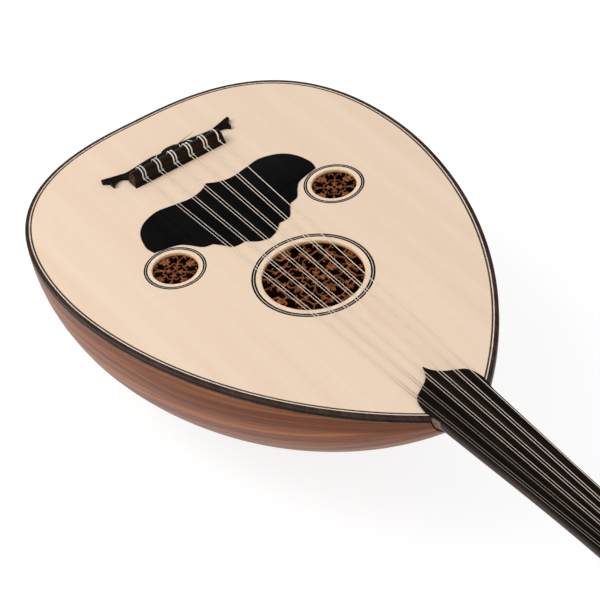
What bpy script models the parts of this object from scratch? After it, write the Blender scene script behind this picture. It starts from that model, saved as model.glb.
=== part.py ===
"""Turkish oud: a bowl-backed plucked lute with eleven strings, built as separate real pieces.

Frame: +Y runs from the tail to the head, +Z points out of the soundboard, +X is the treble side.
The origin is the bottom centre of the whole instrument lying on its back.
All sizes below are in millimetres. Plan places are measured from the centre of the main sound
hole on top of the soundboard, and place() moves them to the shared frame in metres.
"""

import math

import bpy
import bmesh
import numpy as np
from mathutils import Matrix, Vector

MM = 0.001                      # metres in a millimetre

# Driving dimensions, in millimetres
GAP = 0.3                       # fitting gap left between neighbouring pieces
SMOOTH_ANGLE = 35.0             # degrees, edges sharper than this stay crisp

BODY_HALF_WIDTH = 175.65        # soundboard with its edge binding, at the widest place
BODY_WIDEST_Y = -108.8          # where the body is widest
TAIL_Y = -280.8                 # tail end of the body
NECK_JOINT_Y = 192.9            # where body and neck meet
NECK_JOINT_HALF_WIDTH = 28.85
TAIL_FLAT_HANDLE = 41.9         # how far the tail end stays straight
TAIL_SIDE_HANDLE = 179.7        # how long the lower side keeps its direction
SHOULDER_HANDLE = 69.8          # how long the shoulder keeps its direction
NECK_HANDLE = 151.4             # how straight the body runs into the neck
NECK_ENTRY_ANGLE = 49.8         # degrees between the shoulder and the neck line
BOWL_DEPTH_RATIO = 0.92         # bowl depth over half width
BOWL_FULLNESS = 0.9             # 1 is a half ellipse, smaller is fuller

RIB_COUNT = 13
RIB_THICKNESS = 2.6
BINDING_WIDTH = 3.0
BINDING_HEIGHT = 6.0
SOUNDBOARD_THICKNESS = 2.2

MAIN_HOLE_RADIUS = 43.5
SMALL_HOLE_RADIUS = 20.0
SMALL_HOLE_X = 81.8
SMALL_HOLE_Y = -83.7
ROSETTE_LIP = 5.0               # how far a rosette reaches under the soundboard
ROSETTE_THICKNESS = 2.0

STRING_LENGTH = 585.0           # speaking length, bridge to nut
BRIDGE_FRONT_Y = -193.6
BRIDGE_OFFSET = 2.2             # bridge centre, a little to the treble side
BRIDGE_WIDTH = 95.0
BRIDGE_DEPTH = 18.0
BRIDGE_FRONT_HEIGHT = 7.0
BRIDGE_HEIGHT = 9.3
BRIDGE_PLATE_HEIGHT = 4.0
TIE_HOLE_HEIGHT = 5.3
TIE_HOLE_RADIUS = 0.95

NUT_HALF_WIDTH = 19.5
NUT_THICKNESS = 5.0
NECK_DEPTH_RATIO = 0.95         # neck depth over half width at the nut
FINGERBOARD_THICKNESS = 1.7
FINGERBOARD_TIP_Y = 144.5
FINGERBOARD_TIP_LENGTH = 41.0   # from the tip to the full width
PICKGUARD_THICKNESS = 0.6
PICKGUARD_HALF_WIDTH = 85.2
PICKGUARD_LENGTH = 97.7
PICKGUARD_FRONT_Y = -61.3       # edge nearest the main sound hole

COURSE_SPACING = (16.0, 6.45)   # between the double courses, at bridge and nut
PAIR_GAP = (3.0, 2.1)           # between the two strings of a course
BASS_GAP = (13.6, 6.3)          # from the single bass string to the first double course
STRING_OFFSET = (1.0, 0.6)      # centre of all strings, at bridge and nut
STRING_HEIGHT_NUT = 3.5         # above the soundboard plane
STRING_RADII = (0.55, 0.5, 0.5, 0.45, 0.45, 0.4, 0.4, 0.37, 0.37, 0.35, 0.35)
KNOT_CLEARANCE = 0.5            # gap of a string to itself in its knot
WINDING_CLEARANCE = 0.75        # gap between the turns of a string on its peg

PEG_COUNT = 11
PEG_SHAFT_RADIUS = 3.8
PEG_FIRST = 27.0                # along the pegbox from the nut to the first peg
PEG_LAST = 18.0                 # from the last peg to the end of the cheeks
PEG_KNOB_LENGTH = 27.0
PEG_KNOB_WIDTH = 20.0
PEG_KNOB_THICKNESS = 7.0
PEG_HOLE_SIDES = 16
WINDING_TURNS = 2
WINDING_SIDES = 8
TREBLE_LANE_ROOM = 5.5          # from the last string's lane to the treble cheek
MEASURE_STEP = 0.4              # between the points on which a string's gap to itself is measured

PEGBOX_ANGLE = 42.0             # degrees, how far the pegbox leans back
PEGBOX_LENGTH = 199.0
PEGBOX_DROP = 3.0               # pegbox front edge below the neck top at the nut
PEGBOX_DEPTH = 24.0
PEGBOX_TIP_DEPTH = 19.0
PEGBOX_TIP_HALF_WIDTH = 13.0
CHEEK_THICKNESS = 4.5
PEGBOX_BACK_THICKNESS = 4.0
FINIAL_LENGTH = 13.0

TAIL_BLOCK_RADIUS = 44.0
TAIL_BLOCK_THICKNESS = 14.0
CLASP_RADIUS = 29.0
CLASP_THICKNESS = 2.2
BRACE_PLACES = (122.0, 58.0, -54.5, -115.0, -166.0, -236.0)
BRACE_WIDTH = 6.0
BRACE_HEIGHT = 13.0

# The body outline, which many places follow
def bezier(a, b, c, d, t):
    """Point and direction on a cubic curve with four control points in plan."""
    u = 1 - t
    spot = [u**3 * p + 3 * u * u * t * q + 3 * u * t * t * r + t**3 * s for p, q, r, s in zip(a, b, c, d)]
    way = [3 * (u * u * (q - p) + 2 * u * t * (r - q) + t * t * (s - r)) for p, q, r, s in zip(a, b, c, d)]
    return spot, way


def body_edge(t, inset=0.0):
    """Treble half of the body outline, from the tail centre (t = 0) to the neck joint (t = 2)."""
    if t <= 1:
        spot, way = bezier(
            (0, TAIL_Y),
            (TAIL_FLAT_HANDLE, TAIL_Y),
            (BODY_HALF_WIDTH, BODY_WIDEST_Y - TAIL_SIDE_HANDLE),
            (BODY_HALF_WIDTH, BODY_WIDEST_Y),
            t,
        )
    else:
        lean = math.radians(NECK_ENTRY_ANGLE)
        spot, way = bezier(
            (BODY_HALF_WIDTH, BODY_WIDEST_Y),
            (BODY_HALF_WIDTH, BODY_WIDEST_Y + SHOULDER_HANDLE),
            (NECK_JOINT_HALF_WIDTH + NECK_HANDLE * math.sin(lean), NECK_JOINT_Y - NECK_HANDLE * math.cos(lean)),
            (NECK_JOINT_HALF_WIDTH, NECK_JOINT_Y),
            t - 1,
        )
    length = math.hypot(*way)
    return spot[0] - inset * way[1] / length, spot[1] + inset * way[0] / length


def tail_back():
    """The y of the hindmost point of the body."""
    return min(body_edge(k / 40)[1] for k in range(21))


# Worked-out places
NUT_Y = BRIDGE_FRONT_Y + STRING_LENGTH
NECK_END_Y = NUT_Y + NUT_THICKNESS + GAP
BOWL_DEPTH = BODY_HALF_WIDTH * BOWL_DEPTH_RATIO
LEAN = math.radians(PEGBOX_ANGLE)
PEG_SPACING = (PEGBOX_LENGTH - PEG_FIRST - PEG_LAST) / (PEG_COUNT - 1)
PEGBOX_START = (NECK_END_Y + GAP, -PEGBOX_DROP)
CLASP_FRONT_Y = tail_back() - GAP
CLASP_BACK_Y = CLASP_FRONT_Y - CLASP_THICKNESS
HEAD_Y = PEGBOX_START[0] + (PEGBOX_LENGTH + GAP + FINIAL_LENGTH) * math.cos(LEAN)
MIDDLE_Y = (CLASP_BACK_Y + HEAD_Y) / 2
UNDER_BOARD = -SOUNDBOARD_THICKNESS - GAP


def place(x, y, z):
    """Moves a point from the plan (mm) to the shared frame (m)."""
    return Vector((x, y - MIDDLE_Y, z + BOWL_DEPTH)) * MM


# Collections, materials and meshes
for old in list(bpy.data.objects):
    bpy.data.objects.remove(old, do_unlink=True)

PARTS = bpy.data.collections.new("turkish_oud")
CUTTERS = bpy.data.collections.new("cutters")
for group in (PARTS, CUTTERS):
    bpy.context.scene.collection.children.link(group)


def material(name, colour, roughness, metallic=0.0):
    """Makes a plain material with one base colour."""
    mat = bpy.data.materials.new(name)
    mat.use_nodes = True
    shader = mat.node_tree.nodes["Principled BSDF"]
    shader.inputs["Base Color"].default_value = (*colour, 1.0)
    shader.inputs["Roughness"].default_value = roughness
    shader.inputs["Metallic"].default_value = metallic
    return mat


SPRUCE = ("pale_spruce", (0.80, 0.62, 0.42), 0.5)
WALNUT = ("walnut_rib", (0.27, 0.13, 0.07), 0.35)
WALNUT_PALE = ("walnut_rib_pale", (0.34, 0.17, 0.09), 0.35)
ROSEWOOD = ("rosewood", (0.06, 0.035, 0.028), 0.35)
EBONY = ("ebony", (0.012, 0.010, 0.009), 0.4)
FRET_WOOD = ("fretwork_wood", (0.36, 0.16, 0.06), 0.45)
MAHOGANY = ("neck_wood", (0.12, 0.055, 0.035), 0.35)
BONE = ("bone", (0.82, 0.76, 0.62), 0.4)
NYLON = ("clear_nylon", (0.55, 0.55, 0.55), 0.25)
WOUND = ("wound_string", (0.72, 0.68, 0.60), 0.3, 0.8)
BLOCK_WOOD = ("block_wood", (0.62, 0.45, 0.28), 0.6)


def finish(obj, look, group=PARTS):
    """Gives an object its own material and puts it in its collection."""
    if group is PARTS:
        name, *rest = look
        obj.data.materials.append(material(f"{obj.name}_{name}", *rest))
    else:
        obj.hide_render = True
        obj.display_type = "WIRE"
    group.objects.link(obj)
    return obj


def round_off(mesh):
    """Shades a mesh smooth, but for its crisp edges."""
    mesh.shade_smooth()
    mesh.set_sharp_from_angle(angle=math.radians(SMOOTH_ANGLE))


def mesh_object(name, points, faces, look=None, origin=None):
    """Builds a mesh object from plan points in mm, with its origin at a plan point."""
    origin = Vector((0, 0, 0)) if origin is None else place(*origin)
    mesh = bpy.data.meshes.new(name)
    mesh.from_pydata([place(*p) - origin for p in points], [], faces)
    bm = bmesh.new()
    bm.from_mesh(mesh)
    bmesh.ops.recalc_face_normals(bm, faces=bm.faces)
    bm.to_mesh(mesh)
    bm.free()
    round_off(mesh)
    obj = bpy.data.objects.new(name, mesh)
    obj.location = origin
    return finish(obj, look, CUTTERS if look is None else PARTS)


def loft(name, sections, look=None, origin=None):
    """Joins closed sections of equal point count into one closed body with flat ends."""
    count = len(sections[0])
    points = [p for section in sections for p in section]
    faces = []
    for row in range(len(sections) - 1):
        for col in range(count):
            a = row * count + col
            b = row * count + (col + 1) % count
            faces.append((a, b, b + count, a + count))
    last = (len(sections) - 1) * count
    faces.append(tuple(reversed(range(count))))
    faces.append(tuple(range(last, last + count)))
    return mesh_object(name, points, faces, look, origin)


def plate(name, outlines, bottom, top, look=None):
    """Makes a flat plate between two heights from outlines in plan; later ones are holes."""
    curve = bpy.data.curves.new(name, "CURVE")
    curve.dimensions = "2D"
    curve.fill_mode = "BOTH"
    curve.extrude = (top - bottom) / 2 * MM
    for outline in outlines:
        spline = curve.splines.new("POLY")
        spline.points.add(len(outline) - 1)
        for point, (x, y) in zip(spline.points, outline):
            spot = place(x, y, 0)
            point.co = (spot.x, spot.y, 0, 1)
        spline.use_cyclic_u = True
    flat = bpy.data.objects.new(name + "_flat", curve)
    PARTS.objects.link(flat)
    bpy.context.view_layer.update()
    seen = flat.evaluated_get(bpy.context.evaluated_depsgraph_get())
    mesh = bpy.data.meshes.new_from_object(seen)
    mesh.name = name
    bpy.data.objects.remove(flat, do_unlink=True)
    middle = place(0, 0, (top + bottom) / 2).z
    bm = bmesh.new()
    bm.from_mesh(mesh)
    bmesh.ops.remove_doubles(bm, verts=bm.verts, dist=0.00001)
    bmesh.ops.translate(bm, verts=bm.verts, vec=(0, 0, middle))
    bmesh.ops.recalc_face_normals(bm, faces=bm.faces)
    bm.to_mesh(mesh)
    bm.free()
    round_off(mesh)
    mesh.materials.clear()
    obj = bpy.data.objects.new(name, mesh)
    return finish(obj, look, CUTTERS if look is None else PARTS)


def bars(name, places, radius, length, sides, turned_about):
    """Makes a cutter of round bars centred on plan places, upright bars turned about an axis."""
    bm = bmesh.new()
    for spot in places:
        bmesh.ops.create_cone(
            bm,
            cap_ends=True,
            segments=sides,
            radius1=radius * MM,
            radius2=radius * MM,
            depth=length * MM,
            matrix=Matrix.Translation(place(*spot)) @ Matrix.Rotation(math.pi / 2, 4, turned_about),
        )
    mesh = bpy.data.meshes.new(name)
    bm.to_mesh(mesh)
    bm.free()
    return finish(bpy.data.objects.new(name, mesh), None, CUTTERS)


def combine(obj, tool, operation):
    """Adds or removes another closed body."""
    step = obj.modifiers.new(tool.name, "BOOLEAN")
    step.operation = operation
    step.solver = "EXACT"
    step.object = tool


def tube(name, route, radius, look):
    """Draws a round cord through plan points in mm."""
    curve = bpy.data.curves.new(name, "CURVE")
    curve.dimensions = "3D"
    curve.bevel_depth = radius * MM
    curve.bevel_resolution = 1
    curve.use_fill_caps = True
    spline = curve.splines.new("POLY")
    spline.points.add(len(route) - 1)
    for point, spot in zip(spline.points, route):
        point.co = (*place(*spot), 1)
    obj = bpy.data.objects.new(name, curve)
    return finish(obj, look)


# Shapes that several pieces share
def edge_at(wanted, axis, inset, low, high):
    """Finds t where the outline has a wanted x (axis 0) or y (axis 1) between two values of t."""
    for _ in range(50):
        middle = (low + high) / 2
        if body_edge(middle, inset)[axis] < wanted:
            low = middle
        else:
            high = middle
    return (low + high) / 2


def neck_end_t(y, inset):
    """Finds t of the outline where it reaches a given y on the shoulder side."""
    return edge_at(y, 1, inset, 0.9, 2.0)


def edge_steps(start, count):
    """Values of t from a start near the tail to the neck joint, closer together at the tail."""
    tail_share = count * 11 // 20
    first = [start + (1 - start) * k / tail_share for k in range(tail_share)]
    rest = [1 + k / (count - tail_share) for k in range(count - tail_share + 1)]
    return first + rest


def rib_steps():
    """Values of t where the ribs have their sections."""
    return edge_steps(edge_at(15.0, 0, 0.0, 0.0, 0.9), 20)


def half_width(y, inset):
    """Half width inside the ribs at a given y, along straight lines between rib sections."""
    line = [body_edge(t, inset) for t in rib_steps()]
    for (x0, y0), (x1, y1) in zip(line, line[1:]):
        if y0 <= y <= y1:
            return x0 + (x1 - x0) * (y - y0) / (y1 - y0)
    return line[-1][0]


def bowl_angle(width, height, ratio=BOWL_DEPTH_RATIO):
    """Angle at which a bowl section of a given half width has fallen by a height."""
    return math.asin(min(1.0, (height / (ratio * width)) ** (1 / BOWL_FULLNESS)))


def bowl_point(width, y, angle, ratio=BOWL_DEPTH_RATIO):
    """Point of a bowl section; the angle runs from the treble edge (0) to the bass edge (pi)."""
    side = math.copysign(abs(math.cos(angle)) ** BOWL_FULLNESS, math.cos(angle))
    return (width * side, y, -ratio * width * abs(math.sin(angle)) ** BOWL_FULLNESS)


def half_section(width, y, top, steps, ratio=BOWL_DEPTH_RATIO):
    """Closed section of a solid that fills the bowl below a flat top."""
    start = bowl_angle(width, max(-top, 0.0), ratio)
    return [bowl_point(width, y, start + (math.pi - 2 * start) * k / steps, ratio) for k in range(steps + 1)]


def circle(x, y, radius, sides, turn=0.0):
    """Points of a circle in plan."""
    return [
        (x + radius * math.cos(turn + math.tau * k / sides), y + radius * math.sin(turn + math.tau * k / sides))
        for k in range(sides)
    ]


def mirrored(half):
    """Closes a half outline given from one middle point to the other."""
    return half + [(-x, y) for x, y in reversed(half) if abs(x) > 1e-9]


def shifted(outline, dx):
    """Moves an outline sideways."""
    return [(x + dx, y) for x, y in outline]


def smooth(points, corners=(), steps=3):
    """Rounds a row of points with a smooth curve that stays sharp at the named corners."""
    result = []
    last = len(points) - 1
    for k in range(last):
        before = points[k - 1] if k > 0 and k not in corners else points[k]
        after = points[k + 2] if k + 2 <= last and k + 1 not in corners else points[k + 1]
        a, b = points[k], points[k + 1]
        for step in range(steps):
            t = step / steps
            result.append(tuple(
                0.5 * (2 * q + (r - p) * t + (2 * p - 5 * q + 4 * r - s) * t * t + (3 * q - p - 3 * r + s) * t**3)
                for p, q, r, s in zip(before, a, b, after)
            ))
    result.append(points[last])
    return result


# Body
def make_ribs():
    """Thirteen bent ribs from the tail to the neck joint, each one its own piece."""
    top = BINDING_HEIGHT + GAP
    for rib in range(RIB_COUNT):
        sections = []
        for t in rib_steps():
            section = []
            for inset, order in ((0.0, (0, 0.5, 1)), (RIB_THICKNESS, (1, 0.5, 0))):
                width, y = body_edge(t, inset)
                edge = bowl_angle(width, top)
                slack = GAP / 2 / width / 0.8
                for share in order:
                    angle = edge + (math.pi - 2 * edge) * (rib + share) / RIB_COUNT
                    angle += slack * (1 - 2 * share) if 0 < rib + share < RIB_COUNT else 0.0
                    section.append(bowl_point(width, y, angle))
            sections.append(section)
        loft(f"bowl_rib_{rib + 1:02d}", sections, WALNUT if rib % 2 == 0 else WALNUT_PALE)


def make_binding():
    """Dark edge strip round the soundboard, open at the neck."""
    steps = edge_steps(0.0, 44)
    outer = [body_edge(t) for t in steps]
    inner = [body_edge(t, BINDING_WIDTH) for t in steps]
    run = [(-x, y, -u, v) for (x, y), (u, v) in zip(reversed(outer), reversed(inner))]
    run += [(x, y, u, v) for (x, y), (u, v) in zip(outer[1:], inner[1:])]
    sections = [
        ((x, y, 0.0), (x, y, -BINDING_HEIGHT), (u, v, -BINDING_HEIGHT), (u, v, 0.0)) for x, y, u, v in run
    ]
    loft("edge_binding", sections, ROSEWOOD)


def make_soundboard():
    """Spruce top with three round sound holes, set inside the binding."""
    inset = BINDING_WIDTH + GAP
    end = neck_end_t(NECK_JOINT_Y, inset)
    steps = [end * k / 40 for k in range(41)]
    half = [body_edge(t, inset) for t in steps]
    plate(
        "soundboard",
        [
            mirrored(half),
            circle(0, 0, MAIN_HOLE_RADIUS, 40),
            circle(SMALL_HOLE_X, SMALL_HOLE_Y, SMALL_HOLE_RADIUS, 28),
            circle(-SMALL_HOLE_X, SMALL_HOLE_Y, SMALL_HOLE_RADIUS, 28),
        ],
        -SOUNDBOARD_THICKNESS,
        0.0,
        SPRUCE,
    )


def leaf(x, y, length, width, turn):
    """Pointed leaf opening with its long way turned to an angle."""
    shape = ((-0.5, 0.0), (-0.22, 0.38), (0.12, 0.5), (0.5, 0.0), (0.12, -0.5), (-0.22, -0.38))
    cos, sin = math.cos(turn), math.sin(turn)
    return [
        (x + u * length * cos - v * width * sin, y + u * length * sin + v * width * cos) for u, v in shape
    ]


def make_rosette(name, x, y, radius, rows):
    """Pierced wooden disc under a sound hole; rows are (count, distance, length, width, turned)."""
    outlines = [circle(x, y, radius + ROSETTE_LIP, 32)]
    for count, distance, length, width, turned in rows:
        for k in range(count):
            angle = math.tau * (k + (0.5 if turned else 0.0)) / count
            outlines.append(leaf(
                x + radius * distance * math.cos(angle),
                y + radius * distance * math.sin(angle),
                radius * length,
                radius * width,
                angle,
            ))
    plate(name, outlines, UNDER_BOARD - ROSETTE_THICKNESS, UNDER_BOARD, FRET_WOOD)


def make_rosettes():
    """One large and two small rosettes."""
    rows = ((12, 0.83, 0.25, 0.22, False), (12, 0.56, 0.26, 0.17, True), (6, 0.24, 0.26, 0.16, False))
    make_rosette("rosette_main", 0, 0, MAIN_HOLE_RADIUS, rows)
    rows = ((8, 0.72, 0.36, 0.34, False), (8, 0.34, 0.26, 0.15, True))
    make_rosette("rosette_treble", SMALL_HOLE_X, SMALL_HOLE_Y, SMALL_HOLE_RADIUS, rows)
    make_rosette("rosette_bass", -SMALL_HOLE_X, SMALL_HOLE_Y, SMALL_HOLE_RADIUS, rows)


def make_braces():
    """Bars under the soundboard from side to side."""
    inset = BINDING_WIDTH + GAP + 0.1
    for number, y in enumerate(BRACE_PLACES, 1):
        width = min(half_width(y - BRACE_WIDTH / 2, inset), half_width(y + BRACE_WIDTH / 2, inset))
        low = UNDER_BOARD - BRACE_HEIGHT
        reach = bowl_point(width, 0, bowl_angle(width, -low))[0]
        sections = []
        for side in (-1, 1):
            sections.append([
                (side * width, y - BRACE_WIDTH / 2, UNDER_BOARD),
                (side * width, y + BRACE_WIDTH / 2, UNDER_BOARD),
                (side * reach, y + BRACE_WIDTH / 2 - 1, low),
                (side * reach, y - BRACE_WIDTH / 2 + 1, low),
            ])
        loft(f"brace_{number}", sections, BLOCK_WOOD)


def make_blocks():
    """Neck block and tail block inside the bowl, and the clasp outside the tail."""
    inset = BINDING_WIDTH + GAP + 0.1
    near, far = (body_edge(t, inset) for t in rib_steps()[-2:])
    share = (NECK_JOINT_Y - near[1]) / (far[1] - near[1])
    end = (near[0] + (far[0] - near[0]) * share, NECK_JOINT_Y)
    loft("neck_block", [half_section(x, y, UNDER_BOARD, 12) for x, y in (near, far, end)], BLOCK_WOOD)
    edge = edge_at(TAIL_BLOCK_RADIUS, 0, BINDING_WIDTH, 0.0, 0.9)
    front = body_edge(edge, BINDING_WIDTH)[1] + GAP
    ends = (front, front + TAIL_BLOCK_THICKNESS)
    loft("tail_block", [half_section(TAIL_BLOCK_RADIUS - GAP, y, UNDER_BOARD, 12) for y in ends], BLOCK_WOOD)
    ends = (CLASP_BACK_Y, CLASP_FRONT_Y)
    loft("tail_clasp", [half_section(CLASP_RADIUS, y, -BINDING_HEIGHT - GAP, 16) for y in ends], ROSEWOOD)


# Neck, fingerboard and trim on the soundboard
def neck_half_width(y):
    """Half width of the neck at a given y."""
    share = (y - NECK_JOINT_Y) / (NECK_END_Y - NECK_JOINT_Y)
    return NECK_JOINT_HALF_WIDTH + (NUT_HALF_WIDTH + 0.3 - NECK_JOINT_HALF_WIDTH) * share


def neck_depth_ratio(y):
    """Depth over half width of the neck at a given y."""
    share = (y - NECK_JOINT_Y) / (NECK_END_Y - NECK_JOINT_Y)
    return BOWL_DEPTH_RATIO + (NECK_DEPTH_RATIO - BOWL_DEPTH_RATIO) * share


def make_neck():
    """Half-round neck from the body to the nut."""
    start = NECK_JOINT_Y + GAP
    sections = []
    for k in range(5):
        y = start + (NECK_END_Y - start) * k / 4
        sections.append(half_section(neck_half_width(y), y, 0.0, 14, neck_depth_ratio(y)))
    loft("neck", sections, MAHOGANY)


def make_fingerboard():
    """Thin dark board on the neck with an ogee tip on the soundboard."""
    wide, long = NECK_JOINT_HALF_WIDTH - 0.6, FINGERBOARD_TIP_LENGTH
    ogee = (
        (0.0, 0.0), (0.07, 0.134), (0.177, 0.256), (0.336, 0.37),
        (0.6, 0.488), (0.832, 0.6), (0.949, 0.77), (1.0, 1.0),
    )
    tip = [(wide * across, FINGERBOARD_TIP_Y + long * along) for across, along in ogee]
    tip.append((wide, NECK_JOINT_Y + 1))
    half = smooth(tip, steps=2) + [(NUT_HALF_WIDTH, NUT_Y - GAP), (0.0, NUT_Y - GAP)]
    plate("fingerboard", [mirrored(half)], GAP, GAP + FINGERBOARD_THICKNESS, EBONY)


def make_pickguard():
    """Thin black guard with a lobed outline between the sound holes and the bridge."""
    lobes = (
        (0.0, 0.0), (0.112, 0.038), (0.205, 0.112), (0.335, 0.12), (0.417, 0.212), (0.469, 0.269),
        (0.569, 0.296), (0.657, 0.396), (0.751, 0.466), (0.981, 0.515), (1.0, 0.621), (0.945, 0.79),
        (0.827, 0.906), (0.634, 0.967), (0.458, 0.945), (0.258, 0.917), (0.112, 0.943), (0.0, 1.0),
    )
    half = [
        (PICKGUARD_HALF_WIDTH * across, PICKGUARD_FRONT_Y - PICKGUARD_LENGTH * along) for across, along in lobes
    ]
    corners = (2, 5, 9)
    plate("pickguard", [mirrored(smooth(half, corners, 2))], GAP, GAP + PICKGUARD_THICKNESS, EBONY)


def course_places(end):
    """Sideways places of the eleven strings at the bridge (end 0) or the nut (end 1)."""
    first = BASS_GAP[end]
    places = [0.0]
    for course in range(5):
        middle = first + COURSE_SPACING[end] * course
        places += [middle - PAIR_GAP[end] / 2, middle + PAIR_GAP[end] / 2]
    shift = STRING_OFFSET[end] - (places[0] + places[-1]) / 2
    return [x + shift for x in places]


def make_bridge():
    """Block with tie holes on a thin plate whose ends fork like a moustache."""
    front, back = BRIDGE_FRONT_Y, BRIDGE_FRONT_Y - BRIDGE_DEPTH
    half = BRIDGE_WIDTH / 2
    profile = (
        (front, GAP),
        (front - 0.7, BRIDGE_FRONT_HEIGHT),
        (front - 4.0, BRIDGE_FRONT_HEIGHT + 1.3),
        (front - 10.0, BRIDGE_HEIGHT),
        (back + 1.2, BRIDGE_HEIGHT),
        (back, BRIDGE_HEIGHT - 1.2),
        (back, GAP),
    )
    block = [[(BRIDGE_OFFSET + side * half, y, z) for y, z in profile] for side in (-1, 1)]
    bridge = loft("bridge", block, EBONY)
    wing = smooth([
        (0.0, back - 7.0), (4.5, back - 5.6), (8.0, back - 2.6), (30.0, back - 2.6), (half + 3, back - 5.4),
        (half + 19.2, back - 9.3), (half + 19.8, back - 6.6), (half + 15.2, back - 2.0),
        (half + 14.6, back + 4.4), (half + 10.0, back + 0.4), (half + 4.0, back - 0.6), (half - 0.4, back + 3.2),
        (half - 1.0, back + 8.0),
    ], corners=(2, 5, 6, 7, 8, 11), steps=2)
    wing.append((0.0, back + 8.0))
    outline = shifted(mirrored(wing), BRIDGE_OFFSET)
    combine(bridge, plate("bridge_plate", [outline], GAP, GAP + BRIDGE_PLATE_HEIGHT), "UNION")
    middles = [(x, (front + back) / 2, TIE_HOLE_HEIGHT) for x in course_places(0)]
    holes = bars("bridge_tie_holes", middles, TIE_HOLE_RADIUS, BRIDGE_DEPTH + 6, 8, "X")
    combine(bridge, holes, "DIFFERENCE")


def make_nut():
    """Bone nut with a slot for every string."""
    top = STRING_HEIGHT_NUT + 0.5
    profile = [(NUT_HALF_WIDTH, GAP), (NUT_HALF_WIDTH, top - 1.2), (NUT_HALF_WIDTH - 0.9, top)]
    for x, radius in zip(reversed(course_places(1)), reversed(STRING_RADII)):
        wide = radius + GAP
        low = STRING_HEIGHT_NUT - radius - GAP
        profile += [(x + wide, top), (x + wide * 0.6, low), (x - wide * 0.6, low), (x - wide, top)]
    profile += [(-NUT_HALF_WIDTH + 0.9, top), (-NUT_HALF_WIDTH, top - 1.2), (-NUT_HALF_WIDTH, GAP)]
    ends = (NUT_Y, NUT_Y + NUT_THICKNESS)
    loft("nut", [[(x, y, z) for x, z in profile] for y in ends], BONE)


# Pegbox and pegs
def pegbox_point(along, height, x=0.0):
    """Plan point from a distance along the pegbox front edge and a height above that edge."""
    y = PEGBOX_START[0] + along * math.cos(LEAN) + height * math.sin(LEAN)
    z = PEGBOX_START[1] - along * math.sin(LEAN) + height * math.cos(LEAN)
    return (x, y, z)


def pegbox_half_width(along):
    """Outer half width of the pegbox."""
    share = along / PEGBOX_LENGTH
    return NUT_HALF_WIDTH + 0.3 + (PEGBOX_TIP_HALF_WIDTH - NUT_HALF_WIDTH - 0.3) * share


def pegbox_depth(along):
    """Depth of the pegbox from its front edge to its back; it starts as deep as the neck end."""
    neck = (NECK_DEPTH_RATIO * (NUT_HALF_WIDTH + 0.3) - PEGBOX_DROP) * math.cos(LEAN)
    start = (NECK_DEPTH_RATIO * (NUT_HALF_WIDTH + 0.3) - PEGBOX_DROP) * math.sin(LEAN)
    full = start + 34.0
    if along <= full:
        share = max(0.0, (along - start) / (full - start))
        return neck + (PEGBOX_DEPTH - neck) * math.sin(share * math.pi / 2)
    share = (along - full) / (PEGBOX_LENGTH - full)
    return PEGBOX_DEPTH + (PEGBOX_TIP_DEPTH - PEGBOX_DEPTH) * share


def cut_square(along, height, x):
    """A pegbox point kept behind the end face of the neck."""
    x, y, z = pegbox_point(along, height, x)
    limit = PEGBOX_START[0]
    if y < limit:
        more = (limit - y) / math.cos(LEAN)
        x, y, z = pegbox_point(along + more, height, x)
    return (x, y, z)


def pegbox_stations():
    """Distances along the pegbox where its sections are drawn."""
    start = (NECK_DEPTH_RATIO * (NUT_HALF_WIDTH + 0.3) - PEGBOX_DROP) * math.sin(LEAN)
    return [0.0] + [start + 34.0 * k / 4 for k in range(1, 5)] + [PEGBOX_LENGTH * 0.6, PEGBOX_LENGTH]


def make_pegbox():
    """Two cheeks, a back and an end block with a small finial."""
    start = (NECK_DEPTH_RATIO * (NUT_HALF_WIDTH + 0.3) - PEGBOX_DROP) * math.sin(LEAN)
    cutter = make_peg_holes()
    for name, side in (("pegbox_cheek_treble", 1), ("pegbox_cheek_bass", -1)):
        sections = []
        for along in pegbox_stations():
            outer = side * pegbox_half_width(along)
            inner = outer - side * CHEEK_THICKNESS
            depth = pegbox_depth(max(along, start))
            corners = ((0.0, outer), (0.0, inner), (-depth, inner), (-depth, outer))
            sections.append([cut_square(along, height, x) for height, x in corners])
        combine(loft(name, sections, MAHOGANY), cutter, "DIFFERENCE")
    sections = []
    for along in pegbox_stations():
        wide = pegbox_half_width(along) - CHEEK_THICKNESS - GAP
        depth = pegbox_depth(max(along, start))
        corners = (
            (-depth, -wide), (-depth, wide),
            (PEGBOX_BACK_THICKNESS - depth, wide), (PEGBOX_BACK_THICKNESS - depth, -wide),
        )
        end = min(along, PEGBOX_LENGTH - GAP)
        sections.append([cut_square(end, height, x) for height, x in corners])
    loft("pegbox_back", sections, MAHOGANY)
    make_end_block()


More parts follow.
